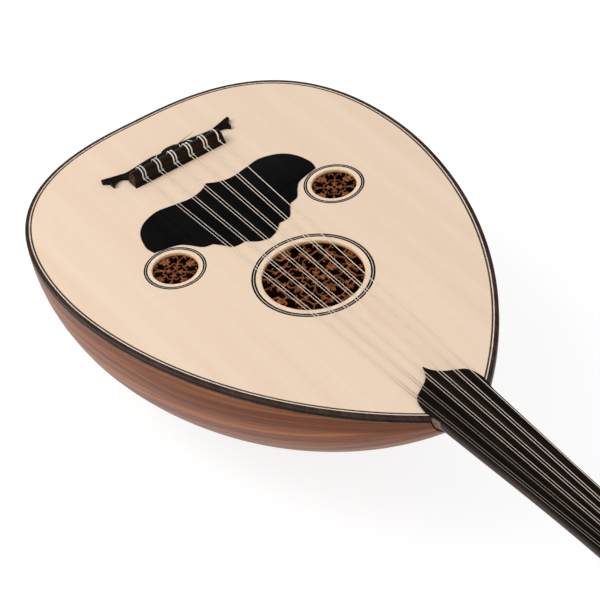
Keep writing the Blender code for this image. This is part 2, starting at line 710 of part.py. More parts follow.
def make_end_block():
    """Block between the cheek ends that grows into a rounded finial."""
    sections = []
    inside = PEGBOX_BACK_THICKNESS - PEGBOX_TIP_DEPTH + GAP
    plug = (PEGBOX_TIP_HALF_WIDTH - CHEEK_THICKNESS - GAP, inside, 0.0)
    cap = (PEGBOX_TIP_HALF_WIDTH, -PEGBOX_TIP_DEPTH, 0.0)
    shape = (
        (PEGBOX_LENGTH - 10.0, plug, 1.0), (PEGBOX_LENGTH + GAP, plug, 1.0),
        (PEGBOX_LENGTH + GAP, cap, 1.0), (PEGBOX_LENGTH + GAP + 3.0, cap, 1.0),
        (PEGBOX_LENGTH + GAP + 7.0, cap, 0.93), (PEGBOX_LENGTH + GAP + 10.5, cap, 0.76),
        (PEGBOX_LENGTH + GAP + FINIAL_LENGTH, cap, 0.42),
    )
    for along, (wide, low, high), share in shape:
        middle = (low + high) / 2
        reach = (high - low) / 2 * share
        cut = min(wide, reach) * 0.25
        ring = (
            (-wide * share + cut, middle + reach), (wide * share - cut, middle + reach),
            (wide * share, middle + reach - cut), (wide * share, middle - reach + cut),
            (wide * share - cut, middle - reach), (-wide * share + cut, middle - reach),
            (-wide * share, middle - reach + cut), (-wide * share, middle + reach - cut),
        )
        sections.append([pegbox_point(along, height, x) for x, height in ring])
    loft("pegbox_end_block", sections, MAHOGANY)


def peg_place(number):
    """Distance along the pegbox and height of a peg axis; pegs are numbered from the nut."""
    along = PEG_FIRST + PEG_SPACING * number
    return along, -(pegbox_depth(along) - PEGBOX_BACK_THICKNESS) / 2


def peg_ring(x, radius_y, radius_z, turn, sides=12):
    """Section of a peg across its axis."""
    ring = []
    for k in range(sides):
        angle = math.tau * k / sides
        y, z = radius_y * math.cos(angle), radius_z * math.sin(angle)
        ring.append((x, y * math.cos(turn) - z * math.sin(turn), y * math.sin(turn) + z * math.cos(turn)))
    return ring


def make_peg_holes():
    """Bores through both cheeks, one for each peg."""
    radius = (PEG_SHAFT_RADIUS + GAP) / math.cos(math.pi / PEG_HOLE_SIDES)
    middles = [pegbox_point(*peg_place(number)) for number in range(PEG_COUNT)]
    return bars("peg_holes", middles, radius, 4 * NUT_HALF_WIDTH, PEG_HOLE_SIDES, "Y")


def make_pegs():
    """Eleven tuning pegs, knobs on alternate sides, each turning on its own axis."""
    for number in range(PEG_COUNT):
        side = 1 if number % 2 == 0 else -1
        along, height = peg_place(number)
        _, y, z = pegbox_point(along, height)
        wall = pegbox_half_width(along)
        turn = LEAN + math.radians(-70 + 37 * number % 50)
        neck_x = wall + 1.2
        wide, thick, long = PEG_KNOB_WIDTH / 2, PEG_KNOB_THICKNESS / 2, PEG_KNOB_LENGTH
        stations = [
            (-wall - 1.0, PEG_SHAFT_RADIUS, PEG_SHAFT_RADIUS),
            (neck_x, PEG_SHAFT_RADIUS, PEG_SHAFT_RADIUS),
            (neck_x, 5.4, 5.4),
            (neck_x + 2.2, 5.6, 5.6),
            (neck_x + 3.4, 3.9, 3.9),
            (neck_x + 7.0, 3.6, 3.2),
            (neck_x + 11.0, wide * 0.72, thick),
            (neck_x + 16.0, wide, thick),
            (neck_x + long - 5.0, wide * 0.9, thick * 0.9),
            (neck_x + long - 1.2, wide * 0.5, thick * 0.6),
            (neck_x + long, wide * 0.18, thick * 0.25),
        ]
        sections = []
        for x, radius_y, radius_z in stations:
            ring = peg_ring(side * x, radius_y, radius_z, turn)
            sections.append([(u, y + v, z + w) for u, v, w in ring])
        loft(f"peg_{number + 1:02d}", sections, EBONY, origin=(0.0, y, z))


# Strings
def winding_pitch(number):
    """Sideways step of one turn of a string on its peg."""
    return 2 * STRING_RADII[number] + WINDING_CLEARANCE


def winding_lane(number, along):
    """Sideways place where a string meets its peg; its turns go on towards the bass cheek."""
    inner = pegbox_half_width(along) - CHEEK_THICKNESS
    low = -inner + WINDING_TURNS * winding_pitch(number) + STRING_RADII[number] + 2 * GAP
    high = inner - TREBLE_LANE_ROOM
    return low + (high - low) * number / (PEG_COUNT - 1)


def string_route(number):
    """Points of one string: knot at the bridge, over the nut, and turns round its peg."""
    radius = STRING_RADII[number]
    x = course_places(0)[number]
    nut_x = course_places(1)[number]
    front, back = BRIDGE_FRONT_Y, BRIDGE_FRONT_Y - BRIDGE_DEPTH
    off = radius + GAP
    step = 2 * radius + KNOT_CLEARANCE
    low, top = TIE_HOLE_HEIGHT, BRIDGE_HEIGHT + off
    rise = BRIDGE_FRONT_HEIGHT
    loop = step / math.cos(math.radians(15))
    route = [(x - radius, front + off + 0.3, low - loop)]
    for degrees in (-90, -60, -30, 0):
        angle = math.radians(degrees)
        route.append((x + loop * math.cos(angle), front + off + 0.3, low + loop * math.sin(angle)))
    route += [
        (x + loop, front + off - 0.2, rise + off * 0.6),
        (x + loop, front - 1.4, rise + off + 0.75),
        (x + step * 0.9, front - 4.0, rise + 1.3 + off + 0.1),
        (x + step * 0.5, front - 10.0, top + 0.1),
        (x + 0.1, back + 1.0, top + 0.1),
        (x, back - off * 0.8, BRIDGE_HEIGHT + off * 0.3),
        (x, back - off - 0.2, BRIDGE_HEIGHT - 1.2),
        (x, back - off - 0.2, low + 1.5),
        (x, back - off * 0.7, low + 0.3),
        (x, back + 0.8, low),
        (x, front + 0.5, low),
        (nut_x, NUT_Y + 0.8, STRING_HEIGHT_NUT),
        (nut_x, NUT_Y + NUT_THICKNESS + 0.2, STRING_HEIGHT_NUT),
    ]
    along, height = peg_place(number)
    lane = winding_lane(number, along)
    sag = math.cos(math.pi / WINDING_SIDES)
    reel = (PEG_SHAFT_RADIUS + GAP + radius) / sag
    here_y, here_z = NUT_Y + NUT_THICKNESS + 1.0, STRING_HEIGHT_NUT - 0.25
    rel_y, rel_z = here_y - PEGBOX_START[0], here_z - PEGBOX_START[1]
    from_along = rel_y * math.cos(LEAN) - rel_z * math.sin(LEAN)
    from_height = rel_y * math.sin(LEAN) + rel_z * math.cos(LEAN)
    span, fall = along - from_along, height - from_height
    distance = math.hypot(span, fall)
    touch = math.atan2(fall, span) + math.pi - math.acos(reel / distance)
    route.append((nut_x, here_y, here_z))
    for k in range(WINDING_TURNS * WINDING_SIDES + 1):
        angle = touch - math.tau * k / WINDING_SIDES
        sideways = lane - winding_pitch(number) * k / WINDING_SIDES
        route.append(pegbox_point(along + reel * math.cos(angle), height + reel * math.sin(angle), sideways))
    return route


def least_gap_to_itself(route, radius):
    """Least gap between two stretches of a string, measured on points along its route."""
    points = [np.array(route[0])]
    for a, b in zip(route, route[1:]):
        pieces = math.ceil(math.dist(a, b) / MEASURE_STEP)
        points += [np.array(a) + (np.array(b) - np.array(a)) * (k + 1) / pieces for k in range(pieces)]
    points = np.array(points)
    along = np.concatenate(([0.0], np.cumsum(np.linalg.norm(np.diff(points, axis=0), axis=1))))
    gap = math.inf
    for spot, reached in zip(points, along):
        later = points[along > reached + 6 * radius]
        if len(later):
            gap = min(gap, np.linalg.norm(later - spot, axis=1).min() - 2 * radius)
    return gap


def make_strings():
    """Eleven strings: one single bass string and five double courses."""
    for number in range(PEG_COUNT):
        look = WOUND if number < 7 else NYLON
        route, radius = string_route(number), STRING_RADII[number]
        tube(f"string_{number + 1:02d}", route, radius, look)
        print(f"string_{number + 1:02d}: least gap to itself {least_gap_to_itself(route, radius):.2f} mm")


make_ribs()
make_binding()
make_soundboard()
make_rosettes()
make_braces()
make_blocks()
make_neck()
make_fingerboard()
make_pickguard()
make_bridge()
make_nut()
make_pegbox()
make_pegs()
make_strings()
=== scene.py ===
"""Looks of a Turkish oud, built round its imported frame.

Sizes are in millimetres on a plan: the origin is the centre of the main sound hole on top of the
soundboard, +X is the treble side, +Y runs to the head and +Z points out of the soundboard.
"""

import logging
import math
from contextlib import contextmanager
from dataclasses import dataclass
from enum import Enum
from typing import ClassVar, Iterable, Iterator, Sequence

import bpy
import bmesh
from mathutils import Matrix, Vector
from mathutils.geometry import delaunay_2d_cdt


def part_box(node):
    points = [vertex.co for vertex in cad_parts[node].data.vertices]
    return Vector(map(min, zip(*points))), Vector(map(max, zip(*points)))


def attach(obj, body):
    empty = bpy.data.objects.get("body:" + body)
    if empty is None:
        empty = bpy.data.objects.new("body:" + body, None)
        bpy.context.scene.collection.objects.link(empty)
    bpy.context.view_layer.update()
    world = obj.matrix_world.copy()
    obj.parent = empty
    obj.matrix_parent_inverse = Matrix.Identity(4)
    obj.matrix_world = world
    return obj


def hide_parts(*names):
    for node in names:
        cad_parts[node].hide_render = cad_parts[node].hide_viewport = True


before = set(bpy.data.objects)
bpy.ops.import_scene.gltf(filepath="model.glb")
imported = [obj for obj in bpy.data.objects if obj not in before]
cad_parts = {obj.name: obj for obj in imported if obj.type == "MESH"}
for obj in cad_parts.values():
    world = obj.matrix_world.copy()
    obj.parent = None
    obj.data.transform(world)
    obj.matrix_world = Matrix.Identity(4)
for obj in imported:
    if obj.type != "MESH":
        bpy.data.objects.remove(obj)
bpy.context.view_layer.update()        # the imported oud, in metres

LOG = logging.getLogger("oud")
MM = 0.001
INSTRUMENT = "instrument"

Point = tuple[float, float]
Point3 = tuple[float, float, float]
Colour = tuple[float, float, float]
Face = tuple[int, ...]


class Plan:
    """Moves plan sizes in millimetres to the shared frame in metres."""

    hole: ClassVar[tuple[Vector, Vector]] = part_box("rosette_main")
    x: ClassVar[float] = (hole[0][0] + hole[1][0]) / 2
    y: ClassVar[float] = (hole[0][1] + hole[1][1]) / 2
    z: ClassVar[float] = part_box("soundboard")[1][2]

    @classmethod
    def place(cls, x: float, y: float, z: float = 0.0) -> Vector:
        """Returns the frame point of a plan point."""
        return Vector((cls.x + x * MM, cls.y + y * MM, cls.z + z * MM))

    @classmethod
    def reach(cls, node: str, axis: int, end: int) -> float:
        """Returns how far a CAD node reaches along an axis of the plan, at its low (0) or high (1) end."""
        return (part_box(node)[end][axis] - (cls.x, cls.y, cls.z)[axis]) / MM


# Curves and sections that the pieces share


def between(p: float, q: float, r: float, s: float, t: float) -> float:
    """Value at t between q and r, on a smooth curve through four values."""
    square, cube = 2 * p - 5 * q + 4 * r - s, 3 * q - p - 3 * r + s
    return 0.5 * (2 * q + (r - p) * t + square * t * t + cube * t**3)


def smooth(points: Sequence[Sequence[float]], corners: Iterable[int] = (), steps: int = 8) -> list[tuple]:
    """Rounds a row of points, sharp at the named corners.

    Args:
        points: points in two or three dimensions.
        corners: numbers of the points that stay sharp.
        steps: stretches between two points.

    Returns:
        The points of the rounded row.
    """
    result = []
    last = len(points) - 1
    for k in range(last):
        before = points[k - 1] if k > 0 and k not in corners else points[k]
        after = points[k + 2] if k + 2 <= last and k + 1 not in corners else points[k + 1]
        axes = list(zip(before, points[k], points[k + 1], after))
        result += [tuple(between(*axis, step / steps) for axis in axes) for step in range(steps)]
    result.append(tuple(points[last]))
    return result


def circle(x: float, y: float, radius: float, sides: int) -> list[Point]:
    """Points of a circle.

    Args:
        x: sideways place of its centre.
        y: lengthways place of its centre.
        radius: its radius.
        sides: number of points.

    Returns:
        The points, without the first one again at the end.
    """
    angles = [math.tau * k / sides for k in range(sides)]
    return [(x + radius * math.cos(a), y + radius * math.sin(a)) for a in angles]


def mirrored(half: Sequence[Point]) -> list[Point]:
    """Closes a half outline that runs from one middle point to the other."""
    return list(half) + [(-x, y) for x, y in reversed(half) if abs(x) > 1e-6]


def loft(sections: Sequence[Sequence[Point3]]) -> tuple[list[Point3], list[Face]]:
    """Joins closed sections of equal count into one closed body with flat ends.

    Args:
        sections: rows of points that go round the body in the same order.

    Returns:
        The points and faces.
    """
    count = len(sections[0])
    points = [point for section in sections for point in section]
    faces: list[Face] = []
    for row in range(len(sections) - 1):
        for col in range(count):
            a, b = row * count + col, row * count + (col + 1) % count
            faces.append((a, b, b + count, a + count))
    last = (len(sections) - 1) * count
    faces += [tuple(reversed(range(count))), tuple(range(last, last + count))]
    return points, faces


def eased_strip(near: float, far: float, base: float, shoulder: float, top: float = 0.05) -> list[Point]:
    """Profile of a thin strip whose upper edges slope, from its near side to its far side.

    Args:
        near: inset of the near side.
        far: inset of the far side.
        base: height of the hidden lower edge.
        shoulder: height where the slopes start.
        top: height of the top, and width of the slopes.

    Returns:
        The closed profile.
    """
    slope = math.copysign(top, far - near)
    near_side = [(near, base), (near, shoulder), (near + slope, top)]
    return near_side + [(far - slope, top), (far, shoulder), (far, base)]


def turned(profile: Sequence[Point], x: float, y: float, sides: int) -> tuple[list[Point3], list[Face]]:
    """Turns a closed profile of radius and height about an upright axis into a ring.

    Args:
        profile: radius and height of each point.
        x: sideways place of the axis.
        y: lengthways place of the axis.
        sides: number of copies round the axis.

    Returns:
        The points and faces.
    """
    count = len(profile)
    points, faces = [], []
    for k in range(sides):
        cos, sin = math.cos(math.tau * k / sides), math.sin(math.tau * k / sides)
        points += [(x + radius * cos, y + radius * sin, z) for radius, z in profile]
        for col in range(count):
            a, b = k * count + col, k * count + (col + 1) % count
            turn = (k + 1) % sides * count - k * count
            faces.append((a, b, b + turn, a + turn))
    return points, faces


def numbered(stem: str, number: int) -> str:
    """Name with a number of two digits, counted from one."""
    return f"{stem}_{number + 1:02d}"


@dataclass(frozen=True)
class BodyShape:
    """Outline of the soundboard edge and the sections of the bowl under it."""

    half_width: float = Plan.reach("edge_binding", 0, 1)
    widest_y: float = -108.8
    tail_y: float = -280.8
    joint_y: float = 192.9
    joint_half_width: float = 28.85
    tail_flat: float = 41.9
    tail_side: float = 179.7
    shoulder: float = 69.8
    neck_run: float = 151.4
    neck_entry_deg: float = 49.8
    depth_ratio: float = 0.92
    fullness: float = 0.9
    halvings: ClassVar[int] = 50

    @staticmethod
    def curve(ends: Sequence[Point], t: float) -> tuple[Point, Point]:
        """Works out a cubic curve with four control points at one place.

        Args:
            ends: the four control points.
            t: 0 at the first point and 1 at the last.

        Returns:
            The point and its direction.
        """
        u = 1 - t
        axes = list(zip(*ends))
        spot = tuple(u**3 * a + 3 * u * u * t * b + 3 * u * t * t * c + t**3 * d for a, b, c, d in axes)
        way = tuple(u * u * (b - a) + 2 * u * t * (c - b) + t * t * (d - c) for a, b, c, d in axes)
        return spot, way

    def edge(self, t: float, inset: float = 0.0) -> Point:
        """Point on the treble half of the outline.

        Args:
            t: 0 at the tail, 1 at the widest place and 2 at the neck joint.
            inset: how far inside the edge.

        Returns:
            The plan point.
        """
        wide = (self.half_width, self.widest_y)
        if t <= 1:
            near, far = (self.tail_flat, self.tail_y), (self.half_width, self.widest_y - self.tail_side)
            spot, way = self.curve(((0, self.tail_y), near, far, wide), t)
        else:
            lean = math.radians(self.neck_entry_deg)
            near = (self.half_width, self.widest_y + self.shoulder)
            joint = (self.joint_half_width, self.joint_y)
            far = (joint[0] + self.neck_run * math.sin(lean), joint[1] - self.neck_run * math.cos(lean))
            spot, way = self.curve((wide, near, far, joint), t - 1)
        length = math.hypot(*way)
        return spot[0] - inset * way[1] / length, spot[1] + inset * way[0] / length

    def reach_t(self, wanted: float, axis: int, inset: float, low: float, high: float) -> float:
        """Finds where the outline reaches a wanted x or y.

        Args:
            wanted: x or y to find.
            axis: 0 for x, 1 for y.
            inset: how far inside the edge.
            low: lowest t to try.
            high: highest t to try.

        Returns:
            The t of that place.
        """
        for _ in range(self.halvings):
            middle = (low + high) / 2
            if self.edge(middle, inset)[axis] < wanted:
                low = middle
            else:
                high = middle
        return low

    def drop_angle(self, width: float, height: float) -> float:
        """Angle at which a bowl section has fallen by a height."""
        return math.asin(min(1.0, (height / (self.depth_ratio * width)) ** (1 / self.fullness)))

    def bowl(self, width: float, y: float, angle: float) -> Point3:
        """Point of a bowl section; the angle runs from the treble edge (0) to the bass edge (pi)."""
        side = math.copysign(abs(math.cos(angle)) ** self.fullness, math.cos(angle))
        return width * side, y, -self.depth_ratio * width * abs(math.sin(angle)) ** self.fullness


# Shader maths


@dataclass
class Value:
    """One output socket, with operators that add the nodes they stand for."""

    graph: "Graph"
    socket: bpy.types.NodeSocket

    def maths(self, operation: str, *others: "Value | float", swap: bool = False) -> "Value":
        """Adds a Math node for this value and others, in order or swapped.

        Args:
            operation: kind of Math node.
            others: the other values.
            swap: whether this value comes last.

        Returns:
            The result.
        """
        parts = [self, *others]
        if swap:
            parts.reverse()
        return self.graph.node("ShaderNodeMath", {"operation": operation}, dict(enumerate(parts)))

    def __add__(self, other: "Value | float") -> "Value":
        """Sum."""
        return self.maths("ADD", other)

    __radd__ = __add__

    def __sub__(self, other: "Value | float") -> "Value":
        """Difference."""
        return self.maths("SUBTRACT", other)

    def __rsub__(self, other: "Value | float") -> "Value":
        """Difference with this value last."""
        return self.maths("SUBTRACT", other, swap=True)

    def __mul__(self, other: "Value | float") -> "Value":
        """Product."""
        return self.maths("MULTIPLY", other)

    __rmul__ = __mul__

    def __abs__(self) -> "Value":
        """Size without the sign."""
        return self.maths("ABSOLUTE")

    def clamped(self) -> "Value":
        """This value kept between 0 and 1."""
        return self.graph.node("ShaderNodeClamp", {}, {"Value": self})

    def rise(self, low: float, high: float) -> "Value":
        """Smooth rise from 0 to 1 between two limits."""
        sockets = {"Value": self, "From Min": low, "From Max": high}
        return self.graph.node("ShaderNodeMapRange", {"interpolation_type": "SMOOTHSTEP"}, sockets)


class Graph:
    """Node tree of one material or of the world."""

    def __init__(self, owner: bpy.types.Material | bpy.types.World, shader: str = "Principled BSDF") -> None:
        """Opens the node tree of a material or world.

        Args:
            owner: material or world.
            shader: name of the node that paint fills.
        """
        owner.use_nodes = True
        self.owner = owner
        self.tree = owner.node_tree
        self.shader = self.tree.nodes[shader]

    @classmethod
    def of_material(cls, name: str) -> "Graph":
        """Opens the node tree of a new material."""
        return cls(bpy.data.materials.new(name))

    def seen(self, *kinds: str) -> "Value":
        """Tells the named kinds of ray from all others.

        Args:
            kinds: kinds of ray, as the Light Path node names them.

        Returns:
            1 where the ray is of one of these kinds, else 0.
        """
        rays = self.node("ShaderNodeLightPath", {}, {}).socket.node
        total = sum((Value(self, rays.outputs[f"Is {kind} Ray"]) for kind in kinds), start=0.0)
        return total.clamped()

    def node(self, kind: str, settings: dict, sockets: dict, out: int | str = 0) -> Value:
        """Adds a node.

        Args:
            kind: type of the node.
            settings: properties that are set first; "stops" fills a colour ramp.
            sockets: values or links by input name or index.
            out: name or index of the output.

        Returns:
            The chosen output.
        """
        made = self.tree.nodes.new(kind)
        for key, value in settings.items():
            if key == "stops":
                self.fill_ramp(made.color_ramp, value)
            else:
                setattr(made, key, value)
        for key, value in sockets.items():
            if isinstance(value, Value):
                self.tree.links.new(value.socket, made.inputs[key])
            else:
                made.inputs[key].default_value = value
        return Value(self, made.outputs[out])

    @staticmethod
    def fill_ramp(ramp: bpy.types.ColorRamp, stops: Sequence[tuple[float, Colour]]) -> None:
        """Writes the stops of a colour ramp.

        Args:
            ramp: ramp to fill.
            stops: places and colours.
        """
        while len(ramp.elements) < len(stops):
            ramp.elements.new(0.5)
        for element, (place, colour) in zip(ramp.elements, stops):
            element.position = place
            element.color = (*colour, 1.0)

    def coords(self) -> tuple[Value, Value, Value]:
        """Adds nodes for the place on the surface, in plan millimetres.

        Returns:
            The three values.
        """
        spot = self.node("ShaderNodeTexCoord", {}, {}, "Object")
        split = self.node("ShaderNodeSeparateXYZ", {}, {0: spot}).socket.node
        start = (Plan.x, Plan.y, Plan.z)
        return tuple((Value(self, split.outputs[k]) - start[k]) * (1 / MM) for k in range(3))

    def vector(self, x: Value | float, y: Value | float, z: Value | float) -> Value:
        """Joins three values into a vector."""
        return self.node("ShaderNodeCombineXYZ", {}, {0: x, 1: y, 2: z})

    def noise(self, place: Value, detail: float = 2.0, rough: float = 0.5) -> Value:
        """Cloudy values between 0 and 1."""
        sockets = {"Vector": place, "Scale": 1.0, "Detail": detail, "Roughness": rough}
        return self.node("ShaderNodeTexNoise", {}, sockets, "Fac")

    def ramp(self, value: Value, *stops: tuple[float, Colour]) -> Value:
        """Colours for a value."""
        return self.node("ShaderNodeValToRGB", {"stops": stops}, {"Fac": value}, "Color")

    def mix(self, share: Value | float, a: Value | Colour, b: Value | Colour, how: str = "MIX") -> Value:
        """Mixes two colours, either of them linked or plain.

        Args:
            share: share of the second colour.
            a: first colour.
            b: second colour.
            how: blend type.

        Returns:
            The mixed colour.
        """
        first, second = (c if isinstance(c, Value) else (*c, 1.0) for c in (a, b))
        settings = {"data_type": "RGBA", "blend_type": how}
        return self.node("ShaderNodeMix", settings, {0: share, 6: first, 7: second}, 2)

    def bump(self, height: Value, depth_mm: float) -> None:
        """Raises the surface by a value."""
        normal = self.node("ShaderNodeBump", {}, {"Height": height, "Distance": depth_mm * MM}, "Normal")
        self.tree.links.new(normal.socket, self.shader.inputs["Normal"])

    def paint(self, **sockets: Value | float) -> bpy.types.Material | bpy.types.World:
        """Sets or links shader sockets, underscores in the names standing for spaces.

        Args:
            sockets: values or links by socket name.

        Returns:
            The finished material or world.
        """
        for key, value in sockets.items():
            target = self.shader.inputs[key.replace("_", " ").title().replace("Ior", "IOR")]
            if isinstance(value, Value):
                self.tree.links.new(value.socket, target)
            else:
                target.default_value = value
        return self.owner


# Finishes


def shade(colour: Colour, factor: float) -> Colour:
    """Returns a colour made darker or lighter."""
    return tuple(min(1.0, part * factor) for part in colour)


class GrainRun(Enum):
    """Which way the grain of a piece runs."""

    ALONG = "along the instrument"
    ACROSS = "across the instrument"
    PEGBOX = "along the pegbox"


class Finish:
    """A finish that makes its own material once."""

    name: str
    made: ClassVar[dict[str, bpy.types.Material]] = {}

    def build(self) -> bpy.types.Material:
        """Makes the material."""
        raise NotImplementedError

    def material(self) -> bpy.types.Material:
        """Hands out the material, which is made on the first call.

        Returns:
            The material.
        """
        if self.name not in self.made:
            self.made[self.name] = self.build()
        return self.made[self.name]


@dataclass(frozen=True)
class Clouds:
    """One cloudy pattern: clouds per millimetre on two axes, its seed and its fineness."""

    across: float
    along: float
    seed: float
    detail: float = 2.0
    rough: float = 0.5

    def over(self, g: Graph, x: Value, y: Value) -> Value:
        """Spreads the pattern over a surface."""
        return g.noise(g.vector(x * self.across, y * self.along, self.seed), self.detail, self.rough)


@dataclass(frozen=True)
class Wood(Finish):
    """Close-grained wood with streaks, pores and a rubbed or lacquered surface."""

    name: str
    dark: Colour
    middle: Colour
    light: Colour
    run: GrainRun = GrainRun.ALONG
    streak_mm: float = 3.0
    stretch: float = 40.0
    pore_mm: float = 0.45
    pore_share: float = 0.35
    pore_depth_mm: float = 0.03
    roughness: float = 0.4
    gloss: float = 0.35
    coat: float = 0.0
    seed: float = 0.0
    pegbox_lean_deg: ClassVar[float] = 42.0
    drift_scale: ClassVar[Point3] = (0.03, 0.007, 0.02)
    drift_streaks: ClassVar[float] = 5.0
    streak_share: ClassVar[float] = 0.6
    streak_deep: ClassVar[float] = 0.6
    streak_noise: ClassVar[Point] = (5.0, 0.62)
    streak_relief: ClassVar[float] = 0.25
    band_scale: ClassVar[Point3] = (0.22, 0.4, 0.05)
    pore_long: ClassVar[float] = 0.04
    pore_deep: ClassVar[float] = 1.3
    tone_limits: ClassVar[Point] = (0.33, 0.67)
    pore_limits: ClassVar[Point] = (0.58, 0.72)
    pore_shade: ClassVar[float] = 0.4
    pore_sheen: ClassVar[float] = 0.22
    pore_dulling: ClassVar[float] = 0.2
    coat_roughness: ClassVar[float] = 0.16

    def axes(self, graph: Graph) -> tuple[Value, Value, Value]:
        """Turns the place on the surface to the grain, in millimetres.

        Args:
            graph: node tree of the material.

        Returns:
            The three values.
        """
        x, y, z = graph.coords()
        if self.run is GrainRun.ACROSS:
            return y, x, z
        if self.run is GrainRun.PEGBOX:
            lean = math.radians(self.pegbox_lean_deg)
            cos, sin = math.cos(lean), math.sin(lean)
            return x, y * cos - z * sin, y * sin + z * cos
        return x, y, z

    def clouds(
        self, g: Graph, places: Sequence[Value], scales: Point3, detail: float = 2.0, rough: float = 0.5
    ) -> Value:
        """Cloudy values that are stretched along the grain.

        Args:
            g: node tree of the material.
            places: places across, along and through the grain.
            scales: clouds per millimetre on each axis.
            detail: fineness of the clouds.
            rough: strength of the fine part.

        Returns:
            The cloudy values.
        """
        across, along, deep = (place * scale for place, scale in zip(places, scales))
        return g.noise(g.vector(across, along, deep + self.seed), detail, rough)

    def build(self) -> bpy.types.Material:
        """Makes the material from streaks, bands and pores.

        Returns:
            The finished material.
        """
        g = Graph.of_material(self.name)
        across, along, deep = self.axes(g)
        drift = self.clouds(g, (across, along, deep), self.drift_scale)
        places = across + (drift - 0.5) * (self.streak_mm * self.drift_streaks), along, deep
        thin, slow, pore = 1 / self.streak_mm, 1 / (self.streak_mm * self.stretch), 1 / self.pore_mm
        wide, long, inward = self.band_scale
        streaks = self.clouds(g, places, (thin, slow, self.streak_deep * thin), *self.streak_noise)
        bands = self.clouds(g, places, (wide * thin, long * slow, inward))
        pores = self.clouds(g, places, (pore, self.pore_long * pore, self.pore_deep))
        tone = (streaks * self.streak_share + bands * (1 - self.streak_share)).rise(*self.tone_limits)
        colour = g.ramp(tone, (0.0, self.dark), (0.5, self.middle), (1.0, self.light))
        dots = pores.rise(*self.pore_limits) * self.pore_share
        colour = g.mix(dots, colour, shade(self.dark, self.pore_shade))
        g.bump(streaks * self.streak_relief - dots, self.pore_depth_mm)
        return g.paint(
            base_color=colour,
            roughness=(self.roughness + (pores - 0.5) * self.pore_sheen + dots * self.pore_dulling).clamped(),
            specular_ior_level=self.gloss,
            coat_weight=self.coat,
            coat_roughness=self.coat_roughness,
        )


@dataclass(frozen=True)
class RibWood(Wood):
    """Wood of one bowl rib, with its grain along the middle of the rib."""

    middle_angle: float = 0.0

    def axes(self, graph: Graph) -> tuple[Value, Value, Value]:
        """Turns the place on the surface to a rib: across it, along it and nothing through it.

        Args:
            graph: node tree of the material.

        Returns:
            The three values.
        """
        x, y, z = graph.coords()
        radius = (x * x + z * z).maths("SQRT")
        around = (0.0 - z).maths("ARCTAN2", x) - self.middle_angle
        return around * radius, y, x * 0.0


@dataclass(frozen=True)
class Spruce(Finish):
    """Book-matched top wood with fine even grain and a faint silk across it."""

    name: str = "spruce_top"
    pale: Colour = (0.83, 0.655, 0.50)
    line: Colour = (0.70, 0.50, 0.35)
    warm: Colour = (0.80, 0.61, 0.455)
    grain_mm: float = 1.3
    joint_mm: float = 0.12
    joint_share: float = 0.25
    wander: Clouds = Clouds(0.008, 0.003, 4.0, 1.0)
    wander_mm: float = 14.0
    rings: Clouds = Clouds(1 / grain_mm, 0.0035, 1.0, 2.0, 0.7)
    ring_limits: Point = (0.42, 0.75)
    ring_share: float = 0.22
    bands: Clouds = Clouds(0.045, 0.0015, 2.0)
    band_limits: Point = (0.3, 0.7)
    silk: Clouds = Clouds(0.05, 0.22, 3.0)
    silk_limits: Point = (0.52, 0.8)
    silk_share: float = 0.16
    silk_shine: float = 1.08
    fibre: Clouds = Clouds(4.0, 0.12, 5.0, 1.0)
    fibre_limits: Point = (0.55, 0.8)
    fibre_share: float = 0.08
    fibre_relief: float = 0.4
    relief_mm: float = 0.012
    roughness: float = 0.46
    silk_sheen: float = 0.12
    fibre_sheen: float = 0.1

    def build(self) -> bpy.types.Material:
        """Makes the material.

        Returns:
            The finished material.
        """
        g = Graph.of_material(self.name)
        x, y, _ = g.coords()
        off = abs(x)
        across = off + (self.wander.over(g, x, y) - 0.5) * self.wander_mm
        rings, bands = self.rings.over(g, across, y), self.bands.over(g, across, y)
        silk, fibre = self.silk.over(g, x, y), self.fibre.over(g, across, y)
        colour = g.mix(bands.rise(*self.band_limits), self.pale, self.warm)
        colour = g.mix(rings.rise(*self.ring_limits) * self.ring_share, colour, self.line)
        shine = shade(self.pale, self.silk_shine)
        colour = g.mix(silk.rise(*self.silk_limits) * self.silk_share, colour, shine)
        colour = g.mix(fibre.rise(*self.fibre_limits) * self.fibre_share, colour, self.line)
        joint = 1 - off.rise(0.3 * self.joint_mm, self.joint_mm)
        colour = g.mix(joint * self.joint_share, colour, self.line)
        g.bump(rings * (1 - self.fibre_relief) + fibre * self.fibre_relief, self.relief_mm)
        roughness = self.roughness + (silk - 0.5) * self.silk_sheen + (fibre - 0.5) * self.fibre_sheen
        return g.paint(base_color=colour, roughness=roughness.clamped())


